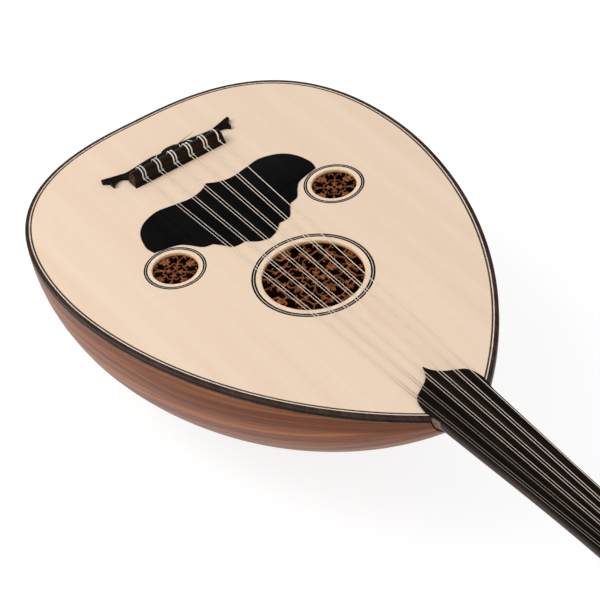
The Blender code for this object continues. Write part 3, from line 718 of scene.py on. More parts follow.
@dataclass(frozen=True)
class StringFinish(Finish):
    """Nylon, or silk wound with fine wire, with painted shade that darkens it over the fingerboard."""

    name: str
    colour: Colour
    roughness: float
    winding_mm: float = 0.0
    neck_shade: float = 0.7
    neck_shade_from: ClassVar[Point] = (125.0, 185.0)
    neck_shade_to: ClassVar[Point] = (375.0, 390.0)
    cloud_along: ClassVar[float] = 0.2
    cloud_limits: ClassVar[Point] = (0.3, 0.8)
    cloud_share: ClassVar[float] = 0.3
    cloud_shade: ClassVar[float] = 0.75
    cloud_sheen: ClassVar[float] = 0.15
    winding_shade: ClassVar[float] = 0.5
    winding_share: ClassVar[float] = 0.12
    winding_depth_mm: ClassVar[float] = 0.04
    gloss: ClassVar[float] = 0.2

    def build(self) -> bpy.types.Material:
        """Makes the material.

        Returns:
            The finished material.
        """
        g = Graph.of_material(self.name)
        x, y, z = g.coords()
        cloud = g.noise(g.vector(x, y * self.cloud_along, z))
        clouds = cloud.rise(*self.cloud_limits) * self.cloud_share
        colour = g.mix(clouds, self.colour, shade(self.colour, self.cloud_shade))
        # Painted shade: the strings are darkened over the fingerboard, standing in for the dimmer light they
        # catch there.
        painted_neck_shade = y.rise(*self.neck_shade_from) * (1.0 - y.rise(*self.neck_shade_to))
        colour = g.mix(painted_neck_shade, colour, shade(self.colour, self.neck_shade))
        if self.winding_mm:
            turns = (y * (math.tau / self.winding_mm)).maths("SINE") * 0.5 + 0.5
            colour = g.mix(turns * self.winding_share, colour, shade(self.colour, self.winding_shade))
            g.bump(turns, self.winding_depth_mm)
        roughness = (self.roughness + (cloud - 0.5) * self.cloud_sheen).clamped()
        return g.paint(base_color=colour, roughness=roughness, specular_ior_level=self.gloss)


# Finishes of this oud

SPRUCE = Spruce()
PALE_RING = Wood("pale_ring", (0.76, 0.57, 0.41), (0.82, 0.64, 0.47), (0.86, 0.70, 0.53),
                 streak_mm=1.5, pore_share=0.1)
# Tan of the hole walls and roundings, painted brighter than their own colour to stand in for light on the far
# wall.
HOLE_WALL_TAN_AND_LIGHT = Wood("hole_wall_tan_and_light", (0.74, 0.47, 0.27), (0.84, 0.56, 0.34), (0.92, 0.66, 0.42), streak_mm=1.2)
INLAY_DARK = Wood("inlay_dark", (0.004, 0.003, 0.002), (0.007, 0.005, 0.004), (0.014, 0.010, 0.008),
                  gloss=0.1)
INLAY_LIGHT = Wood("inlay_light", (0.50, 0.44, 0.38), (0.58, 0.52, 0.45), (0.66, 0.60, 0.53), pore_share=0.1)
BROWN_LINE = Wood("brown_line", (0.040, 0.024, 0.015), (0.070, 0.044, 0.028), (0.11, 0.072, 0.046), gloss=0.2)
WHITE_LINE = Wood("white_line", (0.66, 0.54, 0.44), (0.74, 0.62, 0.51), (0.82, 0.71, 0.60), pore_share=0.1)
GUARD = Wood("black_guard", (0.002, 0.002, 0.002), (0.003, 0.003, 0.003), (0.005, 0.005, 0.005),
             pore_share=0.1, roughness=0.5, gloss=0.05)
BOARD = Wood("fingerboard_ebony", (0.003, 0.0018, 0.0013), (0.008, 0.0045, 0.003), (0.022, 0.012, 0.008),
             streak_mm=2.2, stretch=60, roughness=0.42, gloss=0.08)
BRIDGE_WOOD = Wood("bridge_wood", (0.003, 0.0025, 0.002), (0.007, 0.0048, 0.0035), (0.026, 0.013, 0.007),
                   GrainRun.ACROSS, streak_mm=1.6, roughness=0.42, gloss=0.08)
# End faces of the bridge: a lighter brown that is partly end grain and partly painted light where the lamp
# falls on the ends.
BRIDGE_END_GRAIN_AND_LIGHT = Wood("bridge_end_grain_and_light", (0.016, 0.008, 0.005), (0.050, 0.022, 0.010), (0.10, 0.045, 0.020),
                  streak_mm=1.2, stretch=3, gloss=0.1)
NECK_COLLAR = Wood("neck_collar", (0.10, 0.055, 0.038), (0.19, 0.115, 0.085), (0.28, 0.18, 0.14), gloss=0.15)
BINDING_WOOD = Wood("edge_wood", (0.022, 0.010, 0.007), (0.040, 0.020, 0.014), (0.070, 0.036, 0.025),
                    streak_mm=1.5, roughness=0.42, gloss=0.2)
EDGE_BLACK = Wood("edge_black", (0.010, 0.006, 0.0045), (0.018, 0.010, 0.007), (0.032, 0.018, 0.012),
                  streak_mm=1.5, roughness=0.5, gloss=0.1)
EDGE_WALNUT = Wood("edge_walnut", (0.085, 0.024, 0.009), (0.15, 0.047, 0.019), (0.26, 0.10, 0.047),
                   streak_mm=2.4, stretch=60)
NECK_WOOD = Wood("neck_wood", (0.012, 0.005, 0.0035), (0.030, 0.011, 0.007), (0.075, 0.026, 0.014),
                 roughness=0.38, gloss=0.06)
HEAD_WOOD = Wood("pegbox_wood", (0.012, 0.0065, 0.005), (0.026, 0.013, 0.009), (0.062, 0.028, 0.018),
                 GrainRun.PEGBOX, roughness=0.32, gloss=0.3, coat=0.15)
PEG_WOOD = Wood("peg_ebony", (0.004, 0.003, 0.003), (0.009, 0.006, 0.005), (0.026, 0.015, 0.010),
                GrainRun.ACROSS, streak_mm=1.6, roughness=0.28, coat=0.3)
FRETWORK = Wood("fretwork", (0.085, 0.022, 0.006), (0.21, 0.062, 0.016), (0.38, 0.145, 0.045),
                streak_mm=1.7, stretch=3, pore_mm=0.25, roughness=0.5, gloss=0.1)
# Painted highlight: the sawn edges of the fretwork are a lighter, greyer brown, standing in for light
# catching them.
FRET_EDGE_HIGHLIGHT = Wood("fretwork_edge_highlight", (0.15, 0.065, 0.030), (0.24, 0.115, 0.060), (0.34, 0.18, 0.105),
                 streak_mm=1.0, gloss=0.1)
INSIDE = Wood("inside_wood", (0.40, 0.27, 0.15), (0.50, 0.36, 0.22), (0.58, 0.44, 0.29), roughness=0.7)
BONE = Wood("bone", (0.66, 0.57, 0.42), (0.74, 0.67, 0.53), (0.80, 0.75, 0.64), GrainRun.ACROSS,
            pore_share=0.12)
WOUND = StringFinish("wound_string", (0.86, 0.745, 0.605), 0.4, 0.6)
NYLON = StringFinish("nylon_string", (0.74, 0.66, 0.56), 0.5, neck_shade=0.26)
WOUND_TIE = StringFinish("wound_tie", (0.84, 0.76, 0.64), 0.45)
NYLON_TIE = StringFinish("nylon_tie", (0.70, 0.67, 0.61), 0.3)


# Making pieces


class Workshop:
    """Makes meshes and puts them into the frame."""

    weld_m: ClassVar[float] = 0.000002
    flat_share: ClassVar[float] = 0.9

    @staticmethod
    def placed(name: str, data: bpy.types.ID) -> bpy.types.Object:
        """Makes an object of a mesh, a curve, a lamp or a camera and puts it into the scene.

        Args:
            name: name of the object.
            data: what it holds.

        Returns:
            The new object.
        """
        obj = bpy.data.objects.new(name, data)
        bpy.context.scene.collection.objects.link(obj)
        return obj

    @staticmethod
    @contextmanager
    def opened(mesh: bpy.types.Mesh) -> Iterator[bmesh.types.BMesh]:
        """Opens a mesh for editing and writes the result back into it.

        Args:
            mesh: mesh to edit.

        Returns:
            The open mesh, while the with block runs.
        """
        bm = bmesh.new()
        bm.from_mesh(mesh)
        yield bm
        bm.to_mesh(mesh)
        bm.free()

    @staticmethod
    def settle(
        name: str,
        mesh: bpy.types.Mesh,
        finishes: Sequence[Finish],
        stands_for: Sequence[str] = (),
        slot: str | None = None,
        body: str = INSTRUMENT,
        sharp_deg: float = 35.0,
    ) -> bpy.types.Object:
        """Gives a mesh its finish, its body and the CAD nodes it stands for.

        Args:
            name: name of the new piece.
            mesh: its mesh, in the shared frame.
            finishes: finishes of its material slots.
            stands_for: CAD nodes that it replaces.
            slot: not used.
            body: CAD body that it moves with.
            sharp_deg: edges sharper than this stay crisp.

        Returns:
            The new object.
        """
        for finish in finishes:
            mesh.materials.append(finish.material())
        mesh.shade_smooth()
        mesh.set_sharp_from_angle(angle=math.radians(sharp_deg))
        obj = Workshop.placed(name, mesh)
        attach(obj, body)
        if stands_for:
            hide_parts(*stands_for)
        LOG.info("made %s with %d faces", name, len(mesh.polygons))
        return obj

    @staticmethod
    def mesh(
        name: str, points: Sequence[Point3], faces: Sequence[Face], numbers: Sequence[int] = ()
    ) -> bpy.types.Mesh:
        """Makes a closed mesh from plan points.

        Args:
            name: name of the mesh.
            points: plan points.
            faces: corners of each face.
            numbers: material slot of each face.

        Returns:
            The mesh, in the shared frame.
        """
        mesh = bpy.data.meshes.new(name)
        mesh.from_pydata([Plan.place(*point) for point in points], [], faces)
        for face, number in zip(mesh.polygons, numbers):
            face.material_index = number
        with Workshop.opened(mesh) as bm:
            bmesh.ops.recalc_face_normals(bm, faces=bm.faces)
        return mesh

    @staticmethod
    def plate(
        name: str, outlines: Sequence[Sequence[Point]], bottom: float, top: float, bevel: float = 0.0,
    ) -> bpy.types.Mesh:
        """Makes a flat plate.

        Args:
            name: name of the mesh.
            outlines: outer outline and any holes.
            bottom: height of its lower face.
            top: height of its upper face.
            bevel: rounding of its edges.

        Returns:
            The mesh, with its side faces in material slot 1.
        """
        lines = [[(*Plan.place(x, y).xy, 0) for x, y in outline] for outline in outlines]
        curve = Workshop.curve(name, "2D", lines)
        curve.fill_mode = "BOTH"
        curve.extrude = ((top - bottom) / 2 - bevel) * MM
        curve.bevel_depth = bevel * MM
        curve.bevel_resolution = 2
        curve.offset = -bevel * MM
        for spline in curve.splines:
            spline.use_cyclic_u = True
        mesh = Workshop.from_curve(curve)
        with Workshop.opened(mesh) as bm:
            bmesh.ops.translate(bm, verts=bm.verts, vec=(0, 0, Plan.place(0, 0, (top + bottom) / 2).z))
            for face in bm.faces:
                face.material_index = 0 if abs(face.normal.z) > Workshop.flat_share else 1
        return mesh

    @staticmethod
    def tube(name: str, routes: Sequence[Sequence[Point3]], radius: float, sides: int = 12) -> bpy.types.Mesh:
        """Makes round cords, each through its row of plan points.

        Args:
            name: name of the mesh.
            routes: rows of plan points.
            radius: radius of the cord.
            sides: sides of the cord.

        Returns:
            The mesh, in the shared frame.
        """
        curve = Workshop.curve(name, "3D", [[Plan.place(*spot) for spot in route] for route in routes])
        curve.bevel_depth = radius * MM
        curve.bevel_resolution = (sides - 4) // 2
        curve.use_fill_caps = True
        return Workshop.from_curve(curve)

    @staticmethod
    def curve(name: str, dimensions: str, lines: Sequence[Sequence[Sequence[float]]]) -> bpy.types.Curve:
        """Makes a curve object's data from rows of frame points.

        Args:
            name: name of the curve.
            dimensions: 2D for a flat plate, 3D for a cord.
            lines: rows of frame points.

        Returns:
            The curve.
        """
        curve = bpy.data.curves.new(name, "CURVE")
        curve.dimensions = dimensions
        for line in lines:
            spline = curve.splines.new("POLY")
            spline.points.add(len(line) - 1)
            for point, spot in zip(spline.points, line):
                point.co = (*spot, 1)
        return curve

    @staticmethod
    def from_curve(curve: bpy.types.Curve) -> bpy.types.Mesh:
        """Turns a curve into a closed mesh.

        Args:
            curve: curve with its thickness set.

        Returns:
            The mesh, in the shared frame.
        """
        mesh = Workshop.evaluated(Workshop.placed(curve.name + "_guide", curve))
        with Workshop.opened(mesh) as bm:
            bmesh.ops.remove_doubles(bm, verts=bm.verts, dist=Workshop.weld_m)
            bmesh.ops.recalc_face_normals(bm, faces=bm.faces)
        return mesh

    @staticmethod
    def evaluated(obj: bpy.types.Object) -> bpy.types.Mesh:
        """Returns an object's final mesh and removes the object.

        Args:
            obj: object with its modifiers or its curve.

        Returns:
            The mesh, in the shared frame.
        """
        bpy.context.view_layer.update()
        mesh = bpy.data.meshes.new_from_object(obj.evaluated_get(bpy.context.evaluated_depsgraph_get()))
        bpy.data.objects.remove(obj, do_unlink=True)
        return mesh

    @staticmethod
    def combined(base: bpy.types.Mesh, tool: bpy.types.Mesh, operation: str) -> bpy.types.Mesh:
        """Adds one closed mesh to another, or cuts it away.

        Args:
            base: mesh that is kept.
            tool: mesh that is added or cut away.
            operation: UNION or DIFFERENCE.

        Returns:
            The mesh, in the shared frame.
        """
        body, other = (Workshop.placed(mesh.name, mesh) for mesh in (base, tool))
        step = body.modifiers.new("join", "BOOLEAN")
        step.operation = operation
        step.solver = "EXACT"
        step.object = other
        mesh = Workshop.evaluated(body)
        bpy.data.objects.remove(other, do_unlink=True)
        return mesh


# Body


@dataclass(frozen=True)
class Bowl:
    """Thirteen bent ribs with eased edges and a fine joint between them."""

    shape: BodyShape
    ribs: int = 13
    thickness: float = 2.6
    top: float = 6.3
    joint: float = 0.05
    eased: float = 0.22
    start_x: float = 15.0
    along: int = 72
    across: int = 10
    dark: Colour = (0.15, 0.040, 0.014)
    middle: Colour = (0.265, 0.080, 0.027)
    light: Colour = (0.42, 0.155, 0.052)
    tones: tuple[float, ...] = (0.88, 1.16, 0.94, 1.1, 0.86, 1.02)
    seed_step: float = 7.3

    def build(self) -> None:
        """Makes all ribs."""
        for number in range(self.ribs):
            self.make_rib(number)

    def finish(self, number: int) -> RibWood:
        """Wood of one rib, each with its own tone.

        Args:
            number: number of the rib.

        Returns:
            Its wood.
        """
        tone = self.tones[number % len(self.tones)]
        colours = (shade(colour, tone) for colour in (self.dark, self.middle, self.light))
        return RibWood(
            numbered("walnut_rib", number), *colours, streak_mm=4.6, stretch=70.0, pore_mm=0.4,
            pore_share=0.3, gloss=0.15, seed=number * self.seed_step,
            middle_angle=math.pi * (number + 0.5) / self.ribs,
        )

    def make_rib(self, number: int) -> None:
        """Makes one rib from the tail to the neck joint.

        Args:
            number: number of the rib, from the treble side.
        """
        first = self.shape.reach_t(self.start_x, 0, 0.0, 0.0, 0.9)
        steps = [first + (2 - first) * k / self.along for k in range(self.along + 1)]
        name = numbered("walnut_rib", number)
        mesh = Workshop.mesh(name, *loft([self.section(number, t) for t in steps]))
        Workshop.settle(name, mesh, [self.finish(number)], [numbered("bowl_rib", number)])

    def section(self, number: int, t: float) -> list[Point3]:
        """Closed section of a rib: outer face with eased edges, then the inner face.

        Args:
            number: number of the rib.
            t: place on the outline, as BodyShape counts it.

        Returns:
            The points of the section.
        """
        result = []
        shares = [k / self.across for k in range(self.across + 1)]
        for inset, order in ((0.0, shares), (self.thickness, shares[::-2])):
            width, y = self.shape.edge(t, inset)
            edge = self.shape.drop_angle(width, self.top)
            slack = self.joint / width
            for share in order:
                ease = self.eased if inset == 0.0 and share in (0.0, 1.0) else 0.0
                outside = number + share in (0, self.ribs)
                angle = edge + (math.pi - 2 * edge) * (number + share) / self.ribs
                angle += 0.0 if outside else slack * (1 - 2 * share)
                result.append(self.shape.bowl(width - (0.0 if outside else ease), y, angle))
        return result


@dataclass(frozen=True)
class Edge:
    """Dark binding round the soundboard on black and walnut strips, with two fine lines inside."""

    shape: BodyShape
    width: float = 3.3
    cap_height: float = 1.6
    black_to: float = 4.8
    height: float = 6.0
    round: float = 0.7
    white: tuple[float, float] = (3.4, 4.3)
    brown: tuple[float, float] = (4.3, 5.8)
    line_base: float = -0.5
    line_side: float = 0.02
    arc: tuple[float, ...] = (0.0, 0.4, 0.8, 1.2, math.pi / 2)
    count: int = 110

    def build(self) -> None:
        """Makes the binding and its lines."""
        r, black, walnut = self.round, -self.cap_height, -self.black_to
        arc = [(r * (1 - math.cos(a)), -r * (1 - math.sin(a))) for a in self.arc]
        profile = [(0.0, black)] + arc + [(self.width, 0.0), (self.width, black)]
        self.strip("binding", profile, BINDING_WOOD, ["edge_binding"])
        for name, top, bottom, finish in (
            ("binding_black", black, walnut, EDGE_BLACK),
            ("binding_walnut", walnut, -self.height, EDGE_WALNUT),
        ):
            self.strip(name, [(0.0, top), (self.width, top), (self.width, bottom), (0.0, bottom)], finish)
        for name, line, finish in (
            ("purfling_white", self.white, WHITE_LINE), ("purfling_brown", self.brown, BROWN_LINE),
        ):
            self.strip(name, eased_strip(*line, self.line_base, self.line_side), finish)

    def strip(
        self, name: str, profile: Sequence[Point], finish: Finish, stands_for: Sequence[str] = ()
    ) -> None:
        """Runs a profile of inset and height round the outline, open at the neck.

        Args:
            name: name of the piece.
            profile: insets and heights.
            finish: its wood.
            stands_for: CAD nodes that it replaces.
        """
        steps = [2 * k / self.count for k in range(self.count + 1)]
        sections = [[(-x, y, z) for (x, y), z in self.ring(t, profile)] for t in reversed(steps)]
        sections += [[(x, y, z) for (x, y), z in self.ring(t, profile)] for t in steps[1:]]
        Workshop.settle(name, Workshop.mesh(name, *loft(sections)), [finish], stands_for, "edge_binding")

    def ring(self, t: float, profile: Sequence[Point]) -> list[tuple[Point, float]]:
        """Points of the profile at one place of the outline."""
        return [(self.shape.edge(t, inset), z) for inset, z in profile]


class HoleSize(Enum):
    """The two sizes of sound hole: opening, inlay radii."""

    MAIN = (42.6, 47.4, 51.2)
    SMALL = (19.5, 23.3, 26.4)


@dataclass(frozen=True)
class Soundboard:
    """Spruce top with three sound holes, each in a pale ring and a dark-light-dark inlay."""

    shape: BodyShape
    inset: float = 3.4
    thickness: float = 2.2
    small_x: float = 81.8
    small_y: float = -83.7
    wall_depth: float = 2.5
    rounding: float = 1.0
    wall_curve: tuple[Point, ...] = ((0.0, -0.9), (0.1, -0.45), (0.4, -0.1), (0.9, 0.03))
    wall_faces: tuple[int, ...] = (0, 1, 2, 3, 4, 8)
    ring_base: float = -0.4
    ring_top: float = 0.03
    inlay_shares: tuple[float, ...] = (0.0, 0.42, 0.58, 1.0)
    ring_sides: int = 160
    inlay_sides: int = 180
    count: int = 150

    def holes(self) -> list[tuple[str, float, float, HoleSize]]:
        """Name, centre and size of each sound hole.

        Returns:
            The three holes.
        """
        return [
            ("main", 0.0, 0.0, HoleSize.MAIN),
            ("treble", self.small_x, self.small_y, HoleSize.SMALL),
            ("bass", -self.small_x, self.small_y, HoleSize.SMALL),
        ]

    def build(self) -> None:
        """Makes the top and its rings."""
        end = self.shape.reach_t(self.shape.joint_y, 1, self.inset, 0.9, 2.0)
        half = [self.shape.edge(end * k / self.count, self.inset) for k in range(self.count + 1)]
        outlines = [mirrored(half)]
        for _, x, y, size in self.holes():
            outlines.append(circle(x, y, size.value[0] + self.rounding, self.ring_sides))
        mesh = Workshop.plate("top", outlines, -self.thickness, 0.0)
        Workshop.settle("top", mesh, [SPRUCE, SPRUCE], ["soundboard"])
        for name, x, y, size in self.holes():
            self.make_rings(name, x, y, size)

    def make_rings(self, name: str, x: float, y: float, size: HoleSize) -> None:
        """Makes the pale ring with the wall of the opening, and the three inlay rings.

        Args:
            name: name of the hole.
            x: sideways place of its centre.
            y: lengthways place of its centre.
            size: its opening and inlay radii.
        """
        opening, inner, outer = size.value
        back = opening + self.rounding
        wall = [(back, -self.wall_depth), (opening, -self.wall_depth)]
        wall += [(opening + out, z) for out, z in self.wall_curve]
        wall += [(inner, self.ring_top), (inner, self.ring_base), (back, self.ring_base)]
        points, faces = turned(wall, x, y, self.ring_sides)
        # The wall and rounding faces take the tan with painted light.
        numbers = [int(k % len(wall) in self.wall_faces) for k in range(len(faces))]
        mesh = Workshop.mesh(f"ring_{name}", points, faces, numbers)
        Workshop.settle(f"ring_{name}", mesh, [PALE_RING, HOLE_WALL_TAN_AND_LIGHT], slot="soundboard")
        steps = [inner + (outer - inner) * share for share in self.inlay_shares]
        for part, finish in enumerate((INLAY_DARK, INLAY_LIGHT, INLAY_DARK)):
            band = eased_strip(steps[part + 1], steps[part], self.ring_base, self.ring_top)
            title = f"inlay_{name}_{part + 1}"
            mesh = Workshop.mesh(title, *turned(band, x, y, self.inlay_sides))
            Workshop.settle(title, mesh, [finish], slot="soundboard")


# Rosettes


class Fretwork:
    """Pierced pattern of flat outlines, drawn in one eighth of the disc and repeated round it."""

    slim: ClassVar[float] = 0.72
    bead_sides: ClassVar[int] = 14
    weld_mm: ClassVar[float] = 1e-4

    def __init__(self, hole: Point, offset: Point, scale: float, turn_deg: float) -> None:
        """Starts an empty pattern.

        Args:
            hole: centre of the sound hole, which the rim follows.
            offset: centre of the pattern, seen from the hole's.
            scale: size of the pattern.
            turn_deg: turn of the pattern.
        """
        self.hole, self.offset = hole, offset
        self.scale, self.turn = scale, math.radians(turn_deg)
        self.solid: list[list[Point]] = []
        self.cuts: list[list[Point]] = []

    def repeat(self, outline: Sequence[Point], paired: bool = True, cut: bool = False) -> None:
        """Adds an outline to all four quarters, and its mirror image beside it if paired.

        Args:
            outline: closed row of points.
            paired: whether its mirror image is added.
            cut: whether it is cut out of the pattern.
        """
        target = self.cuts if cut else self.solid
        for quarter in range(4):
            angle = self.turn + quarter * math.pi / 2
            cos, sin = self.scale * math.cos(angle), self.scale * math.sin(angle)
            for flipped in (False, True) if paired else (False,):
                line = [point[::-1] for point in outline] if flipped else outline
                target.append([
                    (self.offset[0] + x * cos - y * sin, self.offset[1] + x * sin + y * cos) for x, y in line
                ])

    def stem(self, *path: Point3, paired: bool = True) -> None:
        """Adds a stem with round ends along a smooth row of places and widths.

        Args:
            path: x, y and width along the stem.
            paired: whether its mirror image is added.
        """
        line = smooth([(x, y, wide * self.slim) for x, y, wide in path], steps=4)
        left, right = [], []
        for k, (x, y, wide) in enumerate(line):
            ahead, behind = line[min(k + 1, len(line) - 1)], line[max(k - 1, 0)]
            dx, dy = ahead[0] - behind[0], ahead[1] - behind[1]
            half = wide / 2 / math.hypot(dx, dy)
            left.append((x - dy * half, y + dx * half))
            right.append((x + dy * half, y - dx * half))
        self.repeat(left + self.cap(line[-2], line[-1]) + right[::-1] + self.cap(line[1], line[0]), paired)

    @staticmethod
    def cap(before: Point3, end: Point3) -> list[Point]:
        """Half round end of a stem.

        Args:
            before: last point but one of the stem.
            end: last point, with the stem's width.

        Returns:
            The points of the cap.
        """
        heading = math.atan2(end[1] - before[1], end[0] - before[0])
        turns = [heading + math.pi * share for share in (0.25, 0.0, -0.25)]
        return [(end[0] + end[2] / 2 * math.cos(a), end[1] + end[2] / 2 * math.sin(a)) for a in turns]

    def bead(self, x: float, y: float, radius: float, paired: bool = True) -> None:
        """Adds a round drop."""
        self.repeat(circle(x, y, radius * self.slim, self.bead_sides), paired)

    def block(self, wide: float, narrow: float, cut: bool = False) -> None:
        """Adds or cuts the square in the middle, its corners taken off.

        Args:
            wide: half width of the square.
            narrow: half length of a side between its corners.
            cut: whether it is cut out of the pattern.
        """
        points = [(-wide, -narrow), (-narrow, -wide)]
        while len(points) < 8:
            x, y = points[-2]
            points.append((-y, x))
        self.repeat(points, paired=False, cut=cut)

    def ring(self, inner: float, outer: float, sides: int) -> None:
        """Adds the rim that holds the pattern, round the sound hole's own centre.

        Args:
            inner: inner radius.
            outer: outer radius.
            sides: number of sides.
        """
        near, far = circle(0, 0, inner, sides), circle(0, 0, outer, sides)
        for k in range(sides):
            self.solid.append([near[k - 1], far[k - 1], far[k], near[k]])

    def joined(self) -> tuple[list[Point], list[Face]]:
        """Joins the outlines into triangles that don't overlap.

        Returns:
            The points and triangles.
        """
        points: list[Vector] = []
        faces = []
        for outline in self.solid + self.cuts:
            area = sum(a[0] * b[1] - a[1] * b[0] for a, b in zip(outline, outline[1:] + outline[:1]))
            base = len(points)
            points += [Vector(spot) for spot in (outline if area > 0 else outline[::-1])]
            faces.append(list(range(base, base + len(outline))))
        spots, _, triangles, _, _, sources = delaunay_2d_cdt(points, [], faces, 1, self.weld_mm)
        kept = [
            tuple(face) for face, source in zip(triangles, sources)
            if source and max(source) < len(self.solid)
        ]
        return [(spot.x + self.hole[0], spot.y + self.hole[1]) for spot in spots], kept

    def mesh(self, name: str, bottom: float, top: float) -> bpy.types.Mesh:
        """Makes the pierced plate, with its sawn edges in material slot 1.

        Args:
            name: name of the mesh.
            bottom: height of its lower face.
            top: height of its upper face.

        Returns:
            The mesh, in the shared frame.
        """
        flat, triangles = self.joined()
        used = sorted({corner for face in triangles for corner in face})
        number = {old: new for new, old in enumerate(used)}
        count = len(used)
        points = [(*flat[old], z) for z in (bottom, top) for old in used]
        faces, numbers, sides = [], [], {}
        for face in triangles:
            a, b, c = (number[corner] for corner in face)
            faces += [(a + count, b + count, c + count), (c, b, a)]
            numbers += [0, 0]
            for edge in ((a, b), (b, c), (c, a)):
                sides[edge] = sides.get(edge, 0) + 1
        for a, b in sides:
            if (b, a) not in sides:
                faces.append((a, b, b + count, a + count))
                numbers.append(1)
        return Workshop.mesh(name, points, faces, numbers)


@dataclass(frozen=True)
class Rosette:
    """Place and turn of one pierced disc in its hole, and whether it shows the whole pattern."""

    hole: str
    offset: Point
    scale: float
    turn_deg: float
    whole: bool


